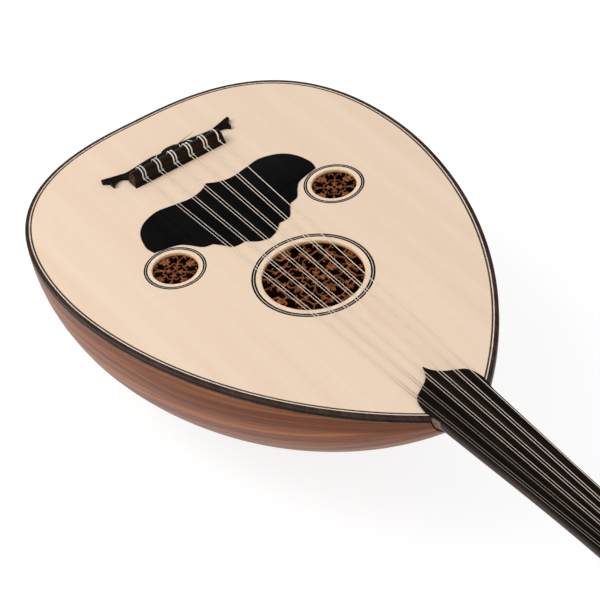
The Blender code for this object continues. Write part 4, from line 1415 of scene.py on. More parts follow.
@dataclass(frozen=True)
class Rosettes:
    """Three pierced wooden discs under the sound holes, the small ones with the heart of the pattern."""

    board: Soundboard
    top: float = -2.5
    thickness: float = 1.0
    lip: float = 4.6
    overlap: float = 0.2
    rim_sides: int = 120
    discs: tuple[Rosette, ...] = (
        Rosette("main", (-1.1, 1.6), 1.0, 7.3, True),
        Rosette("treble", (1.0, 0.7), 0.86, -0.3, False),
        Rosette("bass", (0.7, 1.2), 0.86, 7.4, False),
    )

    def build(self) -> None:
        """Makes all three."""
        for disc, (name, x, y, size) in zip(self.discs, self.board.holes()):
            work = Fretwork((x, y), disc.offset, disc.scale, disc.turn_deg)
            self.draw_heart(work)
            if disc.whole:
                self.draw_border(work)
            opening = size.value[0]
            work.ring(opening - self.overlap, opening + self.lip, self.rim_sides)
            mesh = work.mesh(f"fretwork_{name}", self.top - self.thickness, self.top)
            # The sawn edges take the painted highlight.
            Workshop.settle(f"fretwork_{name}", mesh, [FRETWORK, FRET_EDGE_HIGHLIGHT], [f"rosette_{name}"])

    @staticmethod
    def draw_heart(work: Fretwork) -> None:
        """Cross of small palmettes in a bracketed ring, four palmettes with curls and four forked stems.

        Args:
            work: pattern to draw in.
        """
        small = (
            (1.7, 1.7), (2.05, 3.4), (2.15, 5.2), (2.3, 6.6), (2.85, 7.6), (3.5, 6.9), (3.95, 5.9),
            (4.8, 5.9), (5.3, 6.1), (6.9, 6.9),
        )
        half = smooth(small, (4, 6), 3)
        work.repeat(half + [point[::-1] for point in half[-2:0:-1]], paired=False)
        work.block(2.7, 2.1)
        work.block(1.9, 1.5, cut=True)
        work.stem((0, 9.6, 0.95), (1.8, 9.95, 0.95), (3.6, 10.7, 0.9), (4.95, 11.1, 0.9))
        work.stem((4.95, 11.1, 0.85), (5.6, 9.9, 0.75), (6.3, 8.6, 0.75), (7.0, 7.1, 1.0))
        work.bead(7.0, 7.0, 0.95, paired=False)
        work.stem((0, 9.6, 1.0), (0, 11.0, 1.2), (0, 12.3, 2.4), (0, 13.2, 1.6), (0, 14.8, 1.4), paired=False)
        bud = (
            (0.5, 13.9), (1.0, 15.2), (2.5, 14.3), (3.9, 15.3), (3.6, 16.6), (1.9, 16.9), (1.5, 17.5),
            (3.4, 17.5), (4.8, 18.5), (4.9, 20.3), (3.3, 20.0), (2.0, 19.2), (1.6, 19.6), (2.1, 21.0),
            (1.3, 22.4), (0.5, 23.7), (0.0, 24.0),
        )
        work.repeat(mirrored([(0.0, 13.9)] + smooth(bud, (1, 5, 9, 12), 3)), paired=False)
        work.repeat([(-0.35, 17.2), (0.0, 16.4), (0.35, 17.2), (0.0, 20.6)], paired=False, cut=True)
        work.stem((6.9, 6.9, 1.0), (8.2, 8.5, 1.0), (9.6, 10.1, 1.2), (11.1, 12.1, 1.3), (12.25, 14.6, 1.25),
                  (12.7, 17.0, 1.2), (12.3, 19.3, 1.3), (11.6, 21.4, 1.5), (12.0, 23.0, 2.0))
        work.stem((4.4, 19.7, 1.0), (4.9, 21.2, 1.15), (6.0, 22.3, 1.2), (7.5, 22.7, 1.2), (9.2, 22.4, 1.2),
                  (10.6, 21.7, 1.2), (11.7, 20.9, 1.0))
        work.stem((12.4, 19.6, 0.9), (11.7, 18.6, 0.9), (10.5, 18.1, 1.0), (9.4, 18.2, 1.3))
        work.bead(9.3, 18.2, 0.95)

    @staticmethod
    def draw_border(work: Fretwork) -> None:
        """Eight large palmettes joined by stems, with small ones at the rim.

        Args:
            work: pattern to draw in.
        """
        work.stem((12.0, 23.0, 2.0), (11.7, 24.9, 2.6), (11.0, 26.8, 1.9), (10.6, 28.6, 2.2))
        work.stem((12.4, 24.4, 1.8), (13.3, 22.9, 1.6), (13.9, 21.4, 0.7))
        work.stem((12.4, 24.9, 1.3), (14.6, 24.2, 1.3), (16.6, 23.75, 1.4), (19.2, 23.5, 1.4),
                  (21.4, 23.7, 1.4), (23.1, 23.3, 1.6))
        work.bead(23.2, 23.2, 1.35, paired=False)
        work.stem((23.2, 23.2, 1.4), (25.6, 25.6, 1.1), (28.0, 28.0, 1.2), (32.4, 32.4, 1.8), paired=False)
        work.stem((27.3, 27.3, 0.9), (26.8, 29.2, 0.9), (25.5, 30.2, 0.9), (24.3, 29.6, 1.1))
        work.stem((10.9, 29.2, 3.4), (9.0, 29.4, 3.3), (7.0, 29.7, 2.8), (5.0, 30.1, 2.1), (3.2, 30.9, 1.3),
                  (1.6, 31.6, 1.0), (0.0, 32.0, 1.1))
        work.stem((7.4, 28.9, 1.4), (6.5, 27.4, 1.1), (5.4, 26.3, 0.9), (4.4, 25.9, 1.2))
        work.stem((10.6, 29.0, 3.6), (12.0, 29.3, 3.1), (13.6, 29.0, 2.3), (15.6, 28.6, 1.8),
                  (17.6, 28.8, 1.7), (19.0, 29.6, 1.6), (20.4, 30.9, 0.7))
        work.stem((17.4, 28.6, 1.4), (19.0, 28.1, 1.1), (20.5, 28.2, 0.6))
        work.stem((12.5, 29.8, 2.0), (13.3, 31.4, 0.8))
        work.repeat([(10.0, 29.0), (8.2, 29.3), (6.4, 29.8), (8.2, 29.9), (10.0, 29.6)], cut=True)
        work.repeat([(11.6, 28.9), (13.4, 28.8), (15.0, 28.6), (13.4, 29.4), (11.6, 29.5)], cut=True)
        work.stem((10.9, 30.2, 2.4), (11.0, 31.4, 1.5), (11.0, 32.7, 0.6))
        work.stem((17.6, 29.3, 1.4), (18.3, 31.2, 1.1), (18.9, 33.2, 0.9), (20.0, 36.0, 0.9),
                  (21.0, 40.5, 1.3))
        work.stem((18.8, 33.0, 0.9), (17.6, 34.4, 0.9), (16.2, 34.6, 1.2))
        work.stem((0, 31.6, 1.2), (0, 33.2, 1.8), (0, 35.2, 1.4), (0, 36.6, 2.2), paired=False)
        rim = (
            (0.8, 35.6), (2.2, 36.2), (3.2, 37.4), (3.3, 39.2), (2.5, 40.6), (2.7, 42.0), (3.0, 45.5),
            (0.0, 45.5),
        )
        work.repeat(mirrored([(0.0, 35.6)] + smooth(rim, (0, 4, 6), 3)), paired=False)
        work.stem((2.2, 36.9, 1.2), (4.2, 36.9, 1.9), (5.6, 37.8, 2.2), (6.0, 39.6, 1.6), (6.6, 41.6, 1.8),
                  (6.8, 45.0, 1.8))
        work.repeat([(0.0, 37.0), (1.1, 39.2), (0.0, 38.7), (-1.1, 39.2)], paired=False, cut=True)


# Trim on the soundboard


@dataclass(frozen=True)
class Guard:
    """Thin black guard with a lobed outline between the sound holes and the bridge."""

    half_width: float = 85.2
    length: float = 97.7
    front_y: float = -61.3
    middle: float = 1.3
    top: float = 0.9
    bevel: float = 0.15
    lobes: tuple[Point, ...] = (
        (0.0, 0.0), (0.112, 0.038), (0.205, 0.112), (0.335, 0.12), (0.417, 0.212), (0.469, 0.269),
        (0.569, 0.296), (0.657, 0.396), (0.751, 0.466), (0.981, 0.515), (1.0, 0.621), (0.945, 0.79),
        (0.827, 0.906), (0.634, 0.967), (0.458, 0.945), (0.258, 0.917), (0.112, 0.943), (0.0, 1.0),
    )
    corners: tuple[int, ...] = (2, 5, 9)

    def build(self) -> None:
        """Makes the guard."""
        half = [(self.half_width * u, self.front_y - self.length * v) for u, v in self.lobes]
        outline = [(x + self.middle, y) for x, y in mirrored(smooth(half, self.corners))]
        mesh = Workshop.plate("guard", [outline], 0.0, self.top, self.bevel)
        Workshop.settle("guard", mesh, [GUARD, GUARD], ["pickguard"])


@dataclass(frozen=True)
class Strings:
    """Places of the eleven strings, which the bridge and the nut follow."""

    bridge_front: float = -195.1
    bridge_depth: float = 18.0
    length: float = 586.5
    nut_height: float = 3.5
    nut_thickness: float = 5.0
    course: Point = (16.0, 6.45)
    pair: Point = (3.0, 2.1)
    bass: Point = (13.6, 6.3)
    offset: Point = (1.2, 0.6)
    radii: tuple[float, ...] = (0.33, 0.28, 0.28, 0.25, 0.25, 0.23, 0.23, 0.25, 0.25, 0.23, 0.23)
    hole_height: float = 4.9
    gap: float = 0.3
    sides: int = 10

    @property
    def nut_y(self) -> float:
        """Front face of the nut."""
        return self.bridge_front + self.length

    def places(self, end: int) -> list[float]:
        """Sideways places of the strings at the bridge (0) or the nut (1).

        Args:
            end: 0 for the bridge, 1 for the nut.

        Returns:
            The place of each string.
        """
        rows = [0.0]
        for number in range(5):
            middle = self.bass[end] + self.course[end] * number
            rows += [middle - self.pair[end] / 2, middle + self.pair[end] / 2]
        shift = self.offset[end] - (rows[0] + rows[-1]) / 2
        return [x + shift for x in rows]


@dataclass(frozen=True)
class Bridge:
    """Tie block on a plate with a round lobe behind and ends that fork like a moustache."""

    strings: Strings
    middle: float = 3.2
    lobe_x: float = -2.7
    width: float = 95.0
    height: float = 11.3
    plate_height: float = 4.3
    end_lean: float = 1.8
    end_ease: tuple[Point, ...] = ((0.0, 0.94), (0.3, 0.98), (0.8, 1.0))
    end_share: float = 0.85
    end_face_size: float = 3.0
    hole_radius: float = 0.95
    hole_overrun: float = 3.0
    hole_sides: int = 16
    lobe_depth: float = 3.6
    lobe_steps: int = 16
    bevel: float = 0.45
    profile: tuple[Point, ...] = (
        (0.0, 0.0), (0.9, 1.2), (1.6, 2.7), (2.0, 5.4), (2.3, 8.4), (3.0, 10.2), (4.8, 11.2), (8.0, 11.3),
        (10.6, 10.7), (11.9, 9.6), (12.4, 7.8), (12.6, 0.0),
    )
    back_edge: tuple[Point, ...] = ((9.0, -4.9), (15.5, -6.4), (29.0, -5.0), (43.5, -3.1))
    fork: tuple[Point, ...] = (
        (3.5, -4.6), (19.2, -9.3), (19.8, -6.6), (15.0, -2.2), (14.8, 3.6), (13.9, 4.6), (10.0, 0.9),
        (4.0, -0.6), (-0.4, 3.2), (-1.0, 8.0),
    )
    fork_corners: tuple[int, ...] = (0, 5, 6, 7, 9, 12)

    def build(self) -> None:
        """Makes the bridge as one body, its end faces in a lighter brown that is partly end grain and partly
        painted light.
        """
        front = self.strings.bridge_front
        mesh = Workshop.combined(self.block(front), self.plate(front - self.strings.bridge_depth), "UNION")
        for x in self.strings.places(0):
            mesh = Workshop.combined(mesh, self.hole(x, front), "DIFFERENCE")
        # Painted light: large end faces take the lighter brown, partly end grain and partly standing in for
        # lamp light.
        least = (self.end_face_size * MM) ** 2
        for face in mesh.polygons:
            face.material_index = int(abs(face.normal.x) > self.end_share and face.area > least)
        Workshop.settle("tie_bridge", mesh, [BRIDGE_WOOD, BRIDGE_END_GRAIN_AND_LIGHT], ["bridge"], sharp_deg=40)

    def block(self, front: float) -> bpy.types.Mesh:
        """Block with a rounded top, its ends eased and leaning inwards.

        Args:
            front: y of the front face.

        Returns:
            The mesh, in the shared frame.
        """
        profile = smooth(self.profile, corners=(len(self.profile) - 1,), steps=4)
        middle = self.profile[-1][0] / 2, self.height / 2
        sections = []
        for side in (-1, 1):
            for inset, shrink in self.end_ease[::-side]:
                ring = []
                for depth, height in profile:
                    y = front - middle[0] - (depth - middle[0]) * shrink
                    z = middle[1] + (height - middle[1]) * shrink if height > middle[1] else height
                    reach = self.width / 2 - inset - self.end_lean * z / self.height
                    ring.append((self.middle + side * reach, y, z))
                sections.append(ring)
        return Workshop.mesh("tie_block", *loft(sections))

    def plate(self, back: float) -> bpy.types.Mesh:
        """Plate with a round lobe in the middle of its wavy back edge and a forked tip at each end.

        Args:
            back: y of the block's back face in the CAD.

        Returns:
            The mesh, in the shared frame.
        """
        wing = [(x, back + y) for x, y in self.back_edge]
        wing += [(self.width / 2 + x, back + y) for x, y in self.fork]
        wing = smooth(wing, self.fork_corners, steps=6)
        lobe_x, lobe_y = wing[0]
        lobe = []
        for k in range(1, self.lobe_steps):
            angle = math.pi * k / self.lobe_steps
            lobe.append((lobe_x * math.cos(angle) + self.lobe_x, lobe_y - self.lobe_depth * math.sin(angle)))
        outline = [(self.middle + x, y) for x, y in wing[::-1] + lobe]
        outline += [(self.middle - x, y) for x, y in wing]
        return Workshop.plate("wings", [outline], 0.0, self.plate_height, self.bevel)

    def hole(self, x: float, front: float) -> bpy.types.Mesh:
        """Round bar that cuts one tie hole.

        Args:
            x: sideways place of the hole.
            front: y of the block's front face.

        Returns:
            The mesh, in the shared frame.
        """
        ends = (front + self.hole_overrun, front - self.profile[-1][0] - self.hole_overrun)
        z = self.strings.hole_height
        ring = circle(0, 0, self.hole_radius, self.hole_sides)
        sections = [[(x + u, y, z + v) for u, v in ring] for y in ends]
        return Workshop.mesh("tie_hole", *loft(sections))


@dataclass(frozen=True)
class Ties:
    """Doubled string ends that come out behind the tie block, cross its top and are knotted in front."""

    strings: Strings
    bridge: Bridge
    wound: int = 7
    thinnest: float = 0.3
    swell: float = 1.15
    strand_gap: float = 0.95
    turn_mm: float = 3.4
    knot_reach: float = 2.1
    knot_run: float = 1.7
    knot_back: float = 1.3
    knot_points: int = 29
    knot_points_a_turn: int = 13
    knot_start: float = 0.5
    tail_start: float = 12.4
    short_tail: tuple[Point, ...] = ((0.5, -210.0), (1.4, -212.4))
    loop: tuple[Point3, ...] = (
        (0.0, 11.6, 4.9), (0.0, 13.2, 5.4), (0.0, 13.6, 7.6), (0.0, 12.9, 10.2), (-0.1, 11.2, 11.7),
        (-0.1, 8.2, 12.2), (0.0, 5.2, 12.1), (0.15, 2.9, 11.0), (0.4, 1.75, 9.1), (0.7, 1.4, 7.1),
        (0.75, 1.0, 5.7),
    )
    tails: ClassVar[dict[int, tuple[Point, ...]]] = {
        3: ((0.6, -211.4), (3.2, -213.0), (5.0, -215.6), (6.4, -217.0)),
        5: ((0.4, -211.0), (-0.6, -214.0), (-1.4, -216.6)),
        8: ((-0.8, -211.0), (-3.0, -214.4), (-5.9, -215.7), (-6.6, -217.6)),
    }

    def build(self) -> None:
        """Makes the tie of every string."""
        for number, radius in enumerate(self.strings.radii):
            finish = WOUND_TIE if number < self.wound else NYLON_TIE
            x = self.strings.places(0)[number]
            front, low = self.strings.bridge_front, self.strings.hole_height
            thick = max(self.thinnest, radius) * self.swell
            line = smooth([(x + aside, front - back, z) for aside, back, z in self.loop], steps=10)
            routes = self.twisted(line, thick * self.strand_gap) + [self.knot(x, front, low, thick)]
            rest = self.bridge.plate_height + thick
            tail = [(x + aside, y, rest) for aside, y in self.tails.get(number + 1, self.short_tail)]
            routes.append(smooth([(x, front - self.tail_start, low)] + tail, steps=6))
            name = numbered("tie", number)
            mesh = Workshop.tube(name, routes, thick, self.strings.sides)
            Workshop.settle(name, mesh, [finish], slot=numbered("string", number), sharp_deg=60)

    def twisted(self, line: Sequence[Point3], apart: float) -> list[list[Point3]]:
        """Returns two routes that wind round each other along a line.

        Args:
            line: points of the line.
            apart: distance of each route from the line.

        Returns:
            The two routes.
        """
        spots = [Vector(spot) for spot in line]
        strands: list[list[Point3]] = [[], []]
        gone = 0.0
        for k, spot in enumerate(spots):
            ahead, behind = spots[min(k + 1, len(spots) - 1)], spots[max(k - 1, 0)]
            way = (ahead - behind).normalized()
            up = way.cross(Vector((1.0, 0.0, 0.0))).normalized()
            angle = math.tau * gone / self.turn_mm
            off = (up * math.cos(angle) + up.cross(way) * math.sin(angle)) * apart
            for strand, place in zip(strands, (spot + off, spot - off)):
                strand.append(tuple(place))
            gone += (ahead - spot).length
        return strands

    def knot(self, x: float, front: float, low: float, thick: float) -> list[Point3]:
        """Two turns round the string where it leaves its hole.

        Args:
            x: sideways place of the string.
            front: y of the block's front face.
            low: height of the string.
            thick: radius of the tie.

        Returns:
            The points of the knot.
        """
        route, reach, last = [], thick * self.knot_reach, self.knot_points - 1
        for k in range(self.knot_points):
            angle = math.tau * k / self.knot_points_a_turn + self.knot_start
            y = front - self.knot_back + thick * self.knot_run * k / last
            route.append((x + reach * math.cos(angle), y, low + reach * math.sin(angle)))
        return route


# Neck and head


@dataclass(frozen=True)
class Neck:
    """Half-round neck with a pale end at the body, and its thin dark board with an ogee tip."""

    shape: BodyShape
    strings: Strings
    depth_ratio: float = 0.95
    root_ratio: float = 0.84
    gap: float = 0.3
    collar: float = 8.0
    board_top: float = 2.0
    widths: tuple[Point, ...] = (
        (0.0, 28.0), (3.0, 26.9), (8.0, 26.2), (20.0, 25.6), (60.0, 23.8), (100.0, 22.0), (137.0, 20.75),
        (167.0, 20.1), (204.0, 19.8),
    )
    tip_y: float = 146.0
    tip_length: float = 39.5
    tip_inset: float = 0.6
    board_from: int = 10
    board_inset: float = 0.3
    board_end: float = 8.0
    board_end_width: float = 19.5
    bevel: float = 0.25
    around: int = 36
    ogee: tuple[Point, ...] = (
        (0.0, 0.0), (0.07, 0.134), (0.177, 0.256), (0.336, 0.37),
        (0.6, 0.488), (0.832, 0.6), (0.949, 0.77), (1.0, 1.0),
    )

    def build(self) -> None:
        """Makes the neck and the board."""
        start = self.shape.joint_y + self.gap
        end = self.strings.nut_y + self.strings.nut_thickness + self.gap
        line = smooth(self.widths, steps=5)
        sections = []
        for along, width in line:
            share = min(1.0, along / line[-1][0])
            ratio = self.root_ratio + (self.depth_ratio - self.root_ratio) * share
            y = start + (end - start) * share
            arc = [self.shape.bowl(width, y, math.pi * k / self.around) for k in range(self.around + 1)]
            sections.append([(x, y, z * ratio / self.shape.depth_ratio) for x, y, z in arc])
        mesh = Workshop.mesh("neck_shaft", *loft(sections))
        limit = Plan.place(0.0, start + self.collar, 0.0)[1]
        for face in mesh.polygons:
            face.material_index = int(face.center.y < limit)
        Workshop.settle("neck_shaft", mesh, [NECK_WOOD, NECK_COLLAR], ["neck"])
        self.make_board(start, line)

    def make_board(self, start: float, line: Sequence[Point]) -> None:
        """Makes the board, which covers the joint and ends at the nut.

        Args:
            start: y where the neck starts.
            line: distances and half widths of the neck.
        """
        wide, nut_y = self.shape.joint_half_width - self.tip_inset, self.strings.nut_y
        tip = [(wide * across, self.tip_y + self.tip_length * along) for across, along in self.ogee]
        sides = [(width - self.board_inset, start + along) for along, width in line[self.board_from:]]
        half = smooth(tip, steps=6) + [place for place in sides if place[1] < nut_y - self.board_end]
        half += [(self.board_end_width, nut_y - self.gap), (0.0, nut_y - self.gap)]
        mesh = Workshop.plate("neck_board", [mirrored(half)], 0.0, self.board_top, self.bevel)
        Workshop.settle("neck_board", mesh, [BOARD, BOARD], ["fingerboard"])


@dataclass(frozen=True)
class Head:
    """Where the pegbox and the pegs lie."""

    strings: Strings
    lean: float = math.radians(42.0)
    length: float = 199.0
    drop: float = 3.0
    depth: float = 24.0
    tip_depth: float = 19.0
    start_half_width: float = 19.8
    tip_half_width: float = 13.0
    cheek: float = 4.5
    back: float = 4.0
    neck_ratio: float = 0.95
    swell: float = 34.0
    pegs: int = 11
    first: float = 27.0
    last: float = 18.0

    @property
    def start(self) -> Point:
        """Front edge of the pegbox at the neck, as y and z."""
        nut = self.strings
        return nut.nut_y + nut.nut_thickness + 2 * nut.gap, -self.drop

    def point(self, along: float, height: float, x: float = 0.0) -> Point3:
        """Plan point from a distance along the pegbox and a height over its front edge."""
        cos, sin = math.cos(self.lean), math.sin(self.lean)
        return x, self.start[0] + along * cos + height * sin, self.start[1] - along * sin + height * cos

    def half_width(self, along: float) -> float:
        """Outer half width of the pegbox."""
        return self.start_half_width + (self.tip_half_width - self.start_half_width) * along / self.length

    def depth_at(self, along: float) -> float:
        """Depth of the pegbox from its front edge to its back.

        Args:
            along: distance from the neck.

        Returns:
            The depth there.
        """
        open_end = self.neck_ratio * self.start_half_width - self.drop
        neck, start = open_end * math.cos(self.lean), open_end * math.sin(self.lean)
        full = start + self.swell
        if along <= full:
            share = max(0.0, (along - start) / self.swell)
            return neck + (self.depth - neck) * math.sin(share * math.pi / 2)
        return self.depth + (self.tip_depth - self.depth) * (along - full) / (self.length - full)

    def peg(self, number: int) -> Point:
        """Distance along the pegbox and height of a peg's axis."""
        along = self.first + (self.length - self.first - self.last) / (self.pegs - 1) * number
        return along, -(self.depth_at(along) - self.back) / 2


@dataclass(frozen=True)
class Pegs:
    """Eleven turned pegs with flat heart-shaped knobs, each on its own body."""

    head: Head
    shaft: float = 3.8
    knob_length: float = 27.0
    knob_width: float = 20.0
    knob_thickness: float = 7.0
    knob_gap: float = 1.2
    turn_from: int = -70
    turn_step: int = 37
    turn_span: int = 50
    sides: int = 36
    far_end: tuple[Point, ...] = ((1.4, 1.2), (1.0, 3.4), (0.6, 3.8))
    collar: tuple[Point3, ...] = (
        (0.0, 4.9, 4.9), (0.8, 5.6, 5.6), (1.8, 5.5, 5.5), (2.8, 4.2, 4.2), (4.4, 3.4, 3.3),
        (5.2, 3.9, 3.7), (7.4, 3.9, 3.2),
    )
    knob: tuple[Point3, ...] = ((11.0, 0.74, 0.96), (15.5, 1.0, 0.98))
    tip: tuple[Point3, ...] = (
        (-7.0, 0.97, 0.92), (-3.0, 0.74, 0.78), (-1.2, 0.48, 0.6), (-0.3, 0.26, 0.42), (0.0, 0.1, 0.16),
    )
    crisp: tuple[int, ...] = (2, 4, 9)

    def build(self) -> None:
        """Makes every peg."""
        for number in range(self.head.pegs):
            self.make_peg(number)

    def make_peg(self, number: int) -> None:
        """Makes one peg, its knob on alternate sides.

        Args:
            number: number of the peg, from the neck.
        """
        side = 1 if number % 2 == 0 else -1
        along, height = self.head.peg(number)
        _, y, z = self.head.point(along, height)
        wall = self.head.half_width(along)
        turn = self.head.lean + math.radians(self.turn_from + self.turn_step * number % self.turn_span)
        cos, sin = math.cos(turn), math.sin(turn)
        sections = []
        for x, wide, thick in smooth(self.stations(wall), self.crisp, steps=5):
            ring = []
            for k in range(self.sides):
                angle = math.tau * k / self.sides
                v, w = wide * math.cos(angle), thick * math.sin(angle)
                ring.append((side * x, y + v * cos - w * sin, z + v * sin + w * cos))
            sections.append(ring)
        name, body = numbered("turned_peg", number), numbered("peg", number)
        Workshop.settle(name, Workshop.mesh(name, *loft(sections)), [PEG_WOOD], [body], body=body)

    def stations(self, wall: float) -> list[Point3]:
        """Distance from the middle and the two half sizes along a peg.

        Args:
            wall: half width of the pegbox at the peg.

        Returns:
            The stations, from the far end to the knob.
        """
        start = wall + self.knob_gap
        end = start + self.knob_length
        wide, thick = self.knob_width / 2, self.knob_thickness / 2
        stations = [(-wall - out, radius, radius) for out, radius in self.far_end]
        stations.append((start - 0.1, self.shaft, self.shaft))
        stations += [(start + out, *sizes) for out, *sizes in self.collar]
        stations += [(start + out, wide * u, thick * v) for out, u, v in self.knob]
        return stations + [(end + out, wide * u, thick * v) for out, u, v in self.tip]


@dataclass(frozen=True)
class StringRun:
    """The strings themselves: from the bridge, over the nut and round the peg."""

    head: Head
    strings: Strings
    shaft: float = 3.8
    turns: int = 2
    sides: int = 24
    winding_clearance: float = 0.75
    treble_room: float = 5.5
    wound: int = 7
    hidden: float = 9.0
    hole_front: float = 0.5
    nut_front: float = 0.8
    nut_back: tuple[Point, ...] = ((0.2, 0.0), (1.0, -0.25))

    def build(self) -> None:
        """Makes every string."""
        for number, radius in enumerate(self.strings.radii):
            finish = WOUND if number < self.wound else NYLON
            name = numbered("strung", number)
            mesh = Workshop.tube(name, [self.route(number, radius)], radius, self.strings.sides)
            Workshop.settle(name, mesh, [finish], [numbered("string", number)], sharp_deg=60)

    def route(self, number: int, radius: float) -> list[Point3]:
        """Points of one string from its hole to the end of its winding.

        Args:
            number: number of the string.
            radius: its radius.

        Returns:
            The points.
        """
        s = self.strings
        x, nut_x = s.places(0)[number], s.places(1)[number]
        run = [
            (x, s.bridge_front - self.hidden, s.hole_height),
            (x, s.bridge_front + self.hole_front, s.hole_height),
            (nut_x, s.nut_y + self.nut_front, s.nut_height),
        ]
        run += [(nut_x, s.nut_y + s.nut_thickness + out, s.nut_height + up) for out, up in self.nut_back]
        return run + self.winding(number, radius, run[-1])

    def winding(self, number: int, radius: float, start: Point3) -> list[Point3]:
        """Turns of a string on its peg, from where it meets the peg.

        Args:
            number: number of the string.
            radius: its radius.
            start: last point before the peg.

        Returns:
            The points.
        """
        head = self.head
        along, height = head.peg(number)
        pitch = 2 * radius + self.winding_clearance
        inner = head.half_width(along) - head.cheek
        low = -inner + self.turns * pitch + radius + 2 * self.strings.gap
        lane = low + (inner - self.treble_room - low) * number / (head.pegs - 1)
        reel = self.shaft + self.strings.gap + radius
        cos, sin = math.cos(head.lean), math.sin(head.lean)
        rel_y, rel_z = start[1] - head.start[0], start[2] - head.start[1]
        span, fall = along - (rel_y * cos - rel_z * sin), height - (rel_y * sin + rel_z * cos)
        touch = math.atan2(fall, span) + math.pi - math.acos(reel / math.hypot(span, fall))
        route = []
        for k in range(self.turns * self.sides + 1):
            angle = touch - math.tau * k / self.sides
            aside = lane - pitch * k / self.sides
            route.append(head.point(along + reel * math.cos(angle), height + reel * math.sin(angle), aside))
        return route


# Pieces that keep their CAD shape


class CarriedOver:
    """CAD nodes that keep their shape, with eased edges and their own finish."""

    finishes: ClassVar[dict[str, tuple[Finish, float]]] = {
        "nut": (BONE, 0.25), "pegbox_back": (HEAD_WOOD, 0.6), "pegbox_cheek_treble": (HEAD_WOOD, 0.9),
        "pegbox_cheek_bass": (HEAD_WOOD, 0.9), "pegbox_end_block": (HEAD_WOOD, 1.0),
        "tail_clasp": (BINDING_WOOD, 0.7), "neck_block": (INSIDE, 0.5), "tail_block": (INSIDE, 0.5),
    }

    plain: ClassVar[tuple[Finish, float]] = (INSIDE, 0.4)
    weld_m: ClassVar[float] = 0.00001
    sharp_deg: ClassVar[float] = 35.0
    segments: ClassVar[int] = 3

    def build(self) -> None:
        """Dresses every node, and eases those that aren't replaced."""
        for name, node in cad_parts.items():
            finish, bevel = self.finishes.get(name, self.plain)
            node.data.materials.clear()
            node.data.materials.append(finish.material())
            if not node.hide_render:
                self.ease(node, bevel)
                LOG.info("dressed %s in %s", name, finish.name)

    @staticmethod
    def ease(node: bpy.types.Object, width: float) -> None:
        """Rounds the edges of a node with modifiers.

        Args:
            node: node to ease.
            width: width of the eased edge, in millimetres.
        """
        weld = node.modifiers.new("weld", "WELD")
        weld.merge_threshold = CarriedOver.weld_m
        bevel = node.modifiers.new("eased_edges", "BEVEL")
        bevel.width = width * MM
        bevel.segments = CarriedOver.segments
        bevel.limit_method = "ANGLE"
        bevel.angle_limit = math.radians(CarriedOver.sharp_deg)
        bevel.harden_normals = True


# Studio


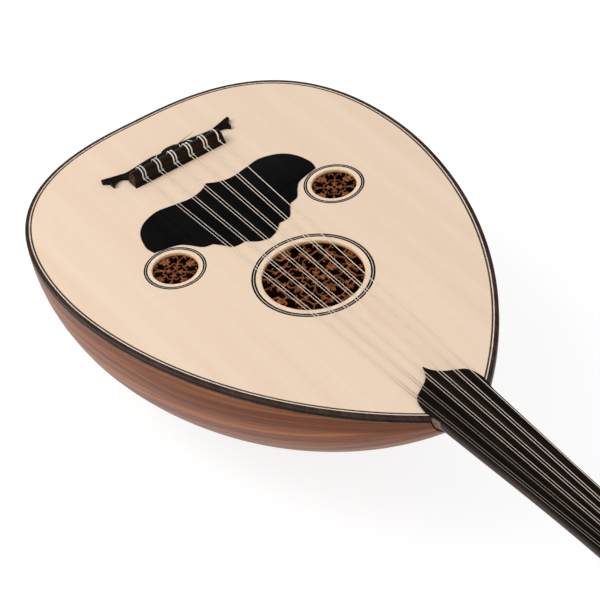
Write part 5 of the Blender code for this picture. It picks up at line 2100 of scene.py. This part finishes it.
@dataclass(frozen=True)
class Studio:
    """Camera, floor and lamps."""

    camera_place: Point3 = (642.47, 1085.52, 1108.46)
    aim: Point3 = (26.30, 18.24, 0.0)
    roll_deg: float = -7.87
    focal_px: float = 2050.66
    frame_px: float = 600.0
    sensor_mm: float = 36.0
    sight_m: tuple[float, float] = (0.05, 50.0)
    floor_size: float = 12.0
    floor_z: float = -0.0006
    floor_roughness: float = 0.9
    cloud_scale: float = 0.002
    cloud_share: float = 0.1
    floor_grey: float = 0.82
    floor_seen: tuple[float, float] = (0.18, 0.85)
    fill: float = 0.5
    ceiling: float = 0.05
    wall_top: tuple[float, float] = (0.12, 0.38)
    lamps: tuple[tuple[str, Point3, float, float], ...] = (
        ("key", (1.3, -1.05, 2.1), 1.6, 44.0),
        ("soft", (-0.4, 1.9, 1.9), 1.8, 12.0),
    )

    def build(self) -> None:
        """Makes everything."""
        self.make_camera()
        self.make_floor()
        self.make_lamps()
        self.make_world()

    def make_camera(self) -> None:
        """Places the camera as in the photograph."""
        data = bpy.data.cameras.new("camera")
        data.sensor_width = self.sensor_mm
        data.lens = self.focal_px / self.frame_px * self.sensor_mm
        data.clip_start, data.clip_end = self.sight_m
        camera = Workshop.placed("camera", data)
        eye, aim = Plan.place(*self.camera_place), Plan.place(*self.aim)
        turn = (aim - eye).to_track_quat("-Z", "Y").to_matrix().to_4x4()
        roll = Matrix.Rotation(math.radians(self.roll_deg), 4, "Z")
        camera.matrix_world = Matrix.Translation(eye) @ turn @ roll
        bpy.context.scene.camera = camera

    def make_floor(self) -> None:
        """Makes a pale floor that looks white and keeps the shadow."""
        half = self.floor_size / 2
        mesh = bpy.data.meshes.new("floor")
        corners = [(-half, -half, 0), (half, -half, 0), (half, half, 0), (-half, half, 0)]
        mesh.from_pydata(corners, [], [(0, 1, 2, 3)])
        floor = Workshop.placed("floor", mesh)
        floor.location.z = self.floor_z
        g = Graph.of_material("floor")
        x, y, z = g.coords()
        cloud = g.noise(g.vector(x * self.cloud_scale, y * self.cloud_scale, z), 1.0)
        shown = g.seen("Camera", "Glossy", "Transmission")
        grey, glow = self.floor_seen
        colour = g.mix(shown, (self.floor_grey,) * 3, (grey,) * 3)
        colour = g.mix(cloud * self.cloud_share, colour, (self.floor_grey,) * 3)
        light = g.mix(shown, (0.0, 0.0, 0.0), (glow,) * 3)
        mesh.materials.append(g.paint(
            base_color=colour, roughness=self.floor_roughness, emission_color=light, emission_strength=1.0,
        ))

    def make_lamps(self) -> None:
        """Makes soft square lamps aimed at the body."""
        for name, place, size, power in self.lamps:
            data = bpy.data.lights.new(name, "AREA")
            data.size, data.energy = size, power
            lamp = Workshop.placed(name, data)
            lamp.location = place
            lamp.rotation_euler = (Plan.place(0, 0) - Vector(place)).to_track_quat("-Z", "Y").to_euler()

    def make_world(self) -> None:
        """Even light from all round, seen and mirrored as white walls under a dark ceiling."""
        world = bpy.data.worlds.new("world")
        g = Graph(world, "Background")
        way = g.node("ShaderNodeTexCoord", {}, {}, "Generated")
        height = Value(g, g.node("ShaderNodeSeparateXYZ", {}, {0: way}).socket.node.outputs[2])
        walls = 1.0 - height.rise(*self.wall_top) * (1.0 - self.ceiling)
        shown = g.seen("Camera", "Glossy", "Transmission")
        g.paint(color=(1.0, 1.0, 1.0, 1.0), strength=self.fill + shown * (walls - self.fill))
        bpy.context.scene.world = world
        bpy.context.scene.view_settings.view_transform = "Standard"


def main() -> None:
    """Builds the oud and its studio in order."""
    logging.basicConfig(level=logging.INFO, format="%(name)s: %(message)s")
    shape, strings = BodyShape(), Strings()
    board, head, bridge = Soundboard(shape), Head(strings), Bridge(strings)
    for step in (
        Studio(), Bowl(shape), Edge(shape), board, Rosettes(board), Guard(), bridge, Neck(shape, strings),
        Pegs(head), StringRun(head, strings), Ties(strings, bridge), CarriedOver(),
    ):
        LOG.info("building %s", type(step).__name__)
        step.build()


if __name__ == "__main__":
    main()
